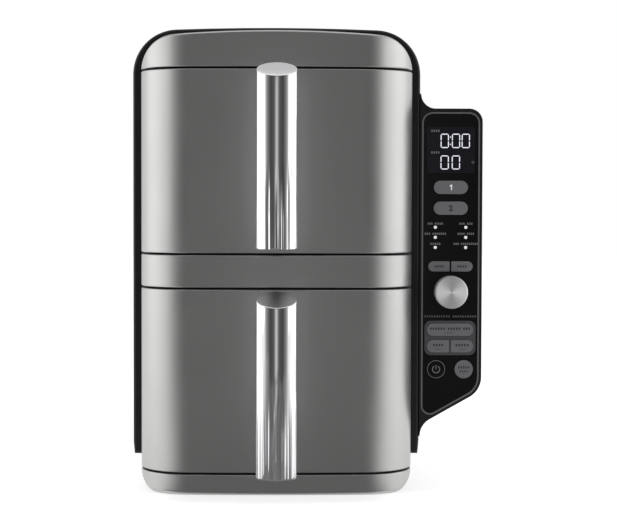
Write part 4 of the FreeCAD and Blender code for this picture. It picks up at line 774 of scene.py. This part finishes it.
# %% Camera
IMAGE_WIDTH = 617
FOCAL_PIXELS = 1742.2
CAMERA_ASIDE, CAMERA_AWAY, CAMERA_HIGH = 0.00032, 1.3879, 0.2442
YAW, PITCH, ROLL = 1.0365, -2.1689, 0.142
camera_data = bpy.data.cameras.new("camera")
camera_data.sensor_width = 36.0
camera_data.lens = FOCAL_PIXELS / IMAGE_WIDTH * camera_data.sensor_width
camera = bpy.data.objects.new("camera", camera_data)
camera.location = (BODY_X + CAMERA_ASIDE, FRONT_Y - CAMERA_AWAY, CAMERA_HIGH)
aim_aside = Matrix.Rotation(math.radians(-YAW), 3, "Z")
aim_down = Matrix.Rotation(math.radians(90 + PITCH), 3, "X")
lean = Matrix.Rotation(math.radians(ROLL), 3, "Z")
camera.rotation_euler = (aim_aside @ aim_down @ lean).to_euler()
bpy.context.collection.objects.link(camera)
bpy.context.scene.camera = camera
print("camera with a lens of", round(camera_data.lens, 1), "mm")

# %% [markdown]
# ## Studio light
# The object stands in a white room. The world is white where the camera looks at it, and dimmer as a
# light, so that the floor keeps a shadow. In reflections it fades towards the ceiling, which keeps the
# slanted tops of the handles grey. Five soft boxes add shape from the sides and from above.

# %% World and soft boxes
WHITE, DIM = 1.0, 0.5
world = bpy.data.worlds.new("studio")
bpy.context.scene.world = world
world.use_nodes = True
tree = world.node_tree
paths = add_node(tree, "ShaderNodeLightPath")
sky = add_node(tree, "ShaderNodeTexCoord")
height = add_node(tree, "ShaderNodeSeparateXYZ", Vector=sky.outputs["Generated"])
reflected = add_node(tree, "ShaderNodeMapRange", Value=height.outputs["Z"], From_Min=0.1, From_Max=0.9,
                     To_Min=WHITE, To_Max=DIM)
light_level = add_node(tree, "ShaderNodeMix", {"data_type": "FLOAT"},
                       {0: paths.outputs["Is Glossy Ray"], 2: DIM, 3: reflected.outputs["Result"]})
seen = add_node(tree, "ShaderNodeMath", {"operation": "MAXIMUM"},
                {0: paths.outputs["Is Camera Ray"], 1: paths.outputs["Is Transmission Ray"]})
level = add_node(tree, "ShaderNodeMix", {"data_type": "FLOAT"},
                 {0: seen.outputs[0], 2: light_level.outputs[0], 3: WHITE})
background = tree.nodes["Background"]
background.inputs["Color"].default_value = (1, 1, 1, 1)
tree.links.new(level.outputs[0], background.inputs["Strength"])


def softbox(name, place, aim, width, height, radiance):
    """Area light of this size, with the brightness that a mirror would show."""
    light = bpy.data.lights.new(name, "AREA")
    light.shape = "RECTANGLE"
    light.size, light.size_y = width, height
    light.energy = radiance * math.pi * width * height
    lamp = bpy.data.objects.new(name, light)
    lamp.location = place
    lamp.rotation_euler = (Vector(aim) - Vector(place)).to_track_quat("-Z", "Y").to_euler()
    bpy.context.collection.objects.link(lamp)
    print(name, "at", [round(value, 2) for value in place])


AIM = (BODY_X, FRONT_Y, 0.25)
SIDES = (("left", -1), ("right", 1))
for side, sign in SIDES:
    softbox(side + "_softbox", (BODY_X + sign * 1.9, FRONT_Y + 0.2, 0.7), AIM, 1.6, 1.6, 1.0)
for side, sign in SIDES:
    softbox(side + "_front_softbox", (BODY_X + sign * 1.51, FRONT_Y - 0.85, 0.74), AIM, 0.42, 1.2, 1.0)
softbox("top_softbox", (BODY_X, FRONT_Y + 0.1, 2.0), (BODY_X, FRONT_Y + 0.1, 0), 1.6, 1.6, 0.8)

# %% [markdown]
# ## A screen for the reflections
# Metal shows what stands in front of it. In the photograph that is a dark room with a bright strip in the
# middle and white sides, which gives the handles their dark lines and the front its bright corners. A
# curved screen that only reflections can see holds that picture as a ramp of brightness over the angle
# from straight ahead. A fan on the floor holds a flatter ramp, so that the corners fade towards the table.
# A runner leads the strip along the floor, and a dull mat lies in front of the object.

# %% Reflection screen
# Stops of (degrees from straight ahead, brightness)
RAMP = ((0, 0.12), (14, 0.10), (20, 0.075), (27, 0.065), (32, 0.11), (37, 0.18), (42, 0.26), (46, 0.37),
        (51, 0.70), (56, 1.0))
FLOOR_RAMP = ((0, 0.23), (14, 0.19), (20, 0.14), (27, 0.13), (32, 0.18), (37, 0.25), (42, 0.33), (46, 0.42),
              (51, 0.66), (56, 0.85))
STRIP_RAMP = ((0, 0.66), (3.5, 0.46), (7, 0.26), (10, 0.13), (12, 0.10))
MAT_RAMP = ((0, 0.2), (60, 0.2))
RAMP_END = 62.0
STRIP_END = 12.0
SCREEN_RADIUS = 1.9
STRIP_FORWARD = 0.02
RUNNER_START = 0.3
RUNNER_GAIN = 0.8
MAT_HALF, MAT_DEEP = 0.13, 0.14
FAN_LEVEL, RUNNER_LEVEL, MAT_LEVEL = 0.0006, 0.0009, 0.0011


def stage_piece(name, vertices, faces, material):
    """Floor, backdrop or screen: a piece of the stage, not of the part."""
    mesh = bpy.data.meshes.new(name)
    mesh.from_pydata(vertices, [], faces)
    mesh.materials.append(material)
    piece = bpy.data.objects.new(name, mesh)
    bpy.context.collection.objects.link(piece)
    return piece


def ramp_glow(name, stops, gain=1.0):
    """Emission that follows a ramp over the angle from straight ahead, seen from the object's front."""
    material = bpy.data.materials.new(name)
    material.use_nodes = True
    tree = material.node_tree
    tree.nodes.clear()
    place = add_node(tree, "ShaderNodeTexCoord")
    ahead = add_node(tree, "ShaderNodeVectorMath", {"operation": "SUBTRACT"},
                     {0: place.outputs["Object"], 1: (BODY_X, FRONT_Y, 0)})
    parts = add_node(tree, "ShaderNodeSeparateXYZ", Vector=ahead.outputs[0])
    aside = add_node(tree, "ShaderNodeMath", {"operation": "ABSOLUTE"}, {0: parts.outputs["X"]})
    forward = add_node(tree, "ShaderNodeMath", {"operation": "MULTIPLY"}, {0: parts.outputs["Y"], 1: -1.0})
    angle = add_node(tree, "ShaderNodeMath", {"operation": "ARCTAN2"},
                     {0: aside.outputs[0], 1: forward.outputs[0]})
    share = add_node(tree, "ShaderNodeMapRange", Value=angle.outputs[0], From_Max=math.radians(RAMP_END))
    ramp = add_node(tree, "ShaderNodeValToRGB", Fac=share.outputs["Result"])
    elements = ramp.color_ramp.elements
    while len(elements) < len(stops):
        elements.new(0.5)
    for element, (degrees, brightness) in zip(elements, stops):
        element.position = degrees / RAMP_END
        element.color = [brightness] * 3 + [1.0]
    glow = add_node(tree, "ShaderNodeEmission", Color=ramp.outputs["Color"], Strength=gain)
    add_node(tree, "ShaderNodeOutputMaterial", Surface=glow.outputs[0])
    return material


def only_in_reflections(piece):
    """Hides a piece from everything but glossy rays."""
    piece.visible_camera = False
    piece.visible_diffuse = False
    piece.visible_shadow = False
    piece.visible_transmission = False


STEPS = 48
BAND = [(2 * i, 2 * i + 1, 2 * i + 3, 2 * i + 2) for i in range(STEPS)]


def arc(radius, reach):
    """Points on a circle round the object's front, from one side of straight ahead to the other."""
    angles = [math.radians(reach * (2 * index / STEPS - 1)) for index in range(STEPS + 1)]
    return [(BODY_X + radius * math.sin(a), FRONT_Y - radius * math.cos(a)) for a in angles]


def screen(name, radius, reach, low, high, material):
    """Upright curved screen between two levels."""
    points = [(x, y, z) for x, y in arc(radius, reach) for z in (low, high)]
    only_in_reflections(stage_piece(name, points, BAND, material))


screen("screen", SCREEN_RADIUS, RAMP_END, -0.5, 2.4, ramp_glow("screen_glow", RAMP))
screen("strip", SCREEN_RADIUS - STRIP_FORWARD, STRIP_END, 0.02, 0.72, ramp_glow("strip_glow", STRIP_RAMP))
fan = [(BODY_X, FRONT_Y - 0.01, FAN_LEVEL)] + [(x, y, FAN_LEVEL) for x, y in arc(SCREEN_RADIUS, RAMP_END)]
wedges = [(0, i + 1, i + 2) for i in range(STEPS)]
fan_glow = ramp_glow("floor_fan_glow", FLOOR_RAMP)
only_in_reflections(stage_piece("floor_fan", fan, wedges, fan_glow))
near, far = arc(RUNNER_START, STRIP_END), arc(SCREEN_RADIUS, STRIP_END)
runner = [(x, y, RUNNER_LEVEL) for pair in zip(near, far) for x, y in pair]
runner_glow = ramp_glow("floor_runner_glow", STRIP_RAMP, RUNNER_GAIN)
only_in_reflections(stage_piece("floor_runner", runner, BAND, runner_glow))
mat_corners = ((-MAT_HALF, MAT_DEEP), (MAT_HALF, MAT_DEEP), (MAT_HALF, 0.0), (-MAT_HALF, 0.0))
mat = [(BODY_X + x, FRONT_Y - y, MAT_LEVEL) for x, y in mat_corners]
only_in_reflections(stage_piece("floor_mat", mat, [(0, 1, 2, 3)], ramp_glow("floor_mat_glow", MAT_RAMP)))
print("screen over", 2 * RAMP_END, "degrees")

# %% [markdown]
# ## Floor
# The floor is pale paint that glows a little, so that it reaches white where no shadow falls and stays
# darker under the object. Only the camera and mirrors see the glow, so it doesn't light the part.

# %% Floor
FLOOR_GLOW = 0.62
FLOOR_HALF = 6
floor_paint, tree, shader = new_material("floor_paint", "#f3f3f3", Roughness=0.9)
paths = add_node(tree, "ShaderNodeLightPath")
seen = add_node(tree, "ShaderNodeMath", {"operation": "ADD", "use_clamp": True},
                {0: paths.outputs["Is Camera Ray"], 1: paths.outputs["Is Glossy Ray"]})
seen = add_node(tree, "ShaderNodeMath", {"operation": "ADD", "use_clamp": True},
                {0: seen.outputs[0], 1: paths.outputs["Is Transmission Ray"]})
glow = add_node(tree, "ShaderNodeMath", {"operation": "MULTIPLY"}, {0: seen.outputs[0], 1: FLOOR_GLOW})
shader.inputs["Emission Color"].default_value = (1, 1, 1, 1)
tree.links.new(glow.outputs[0], shader.inputs["Emission Strength"])
corners = [(FLOOR_HALF * x, FLOOR_HALF * y, 0) for x, y in ((-1, -1), (1, -1), (1, 1), (-1, 1))]
stage_piece("floor", corners, [(0, 1, 2, 3)], floor_paint)
print("floor laid")

# %% [markdown]
# ## Hand over
# The picture uses the plain Standard view.

# %% View transform
bpy.context.scene.view_settings.view_transform = "Standard"
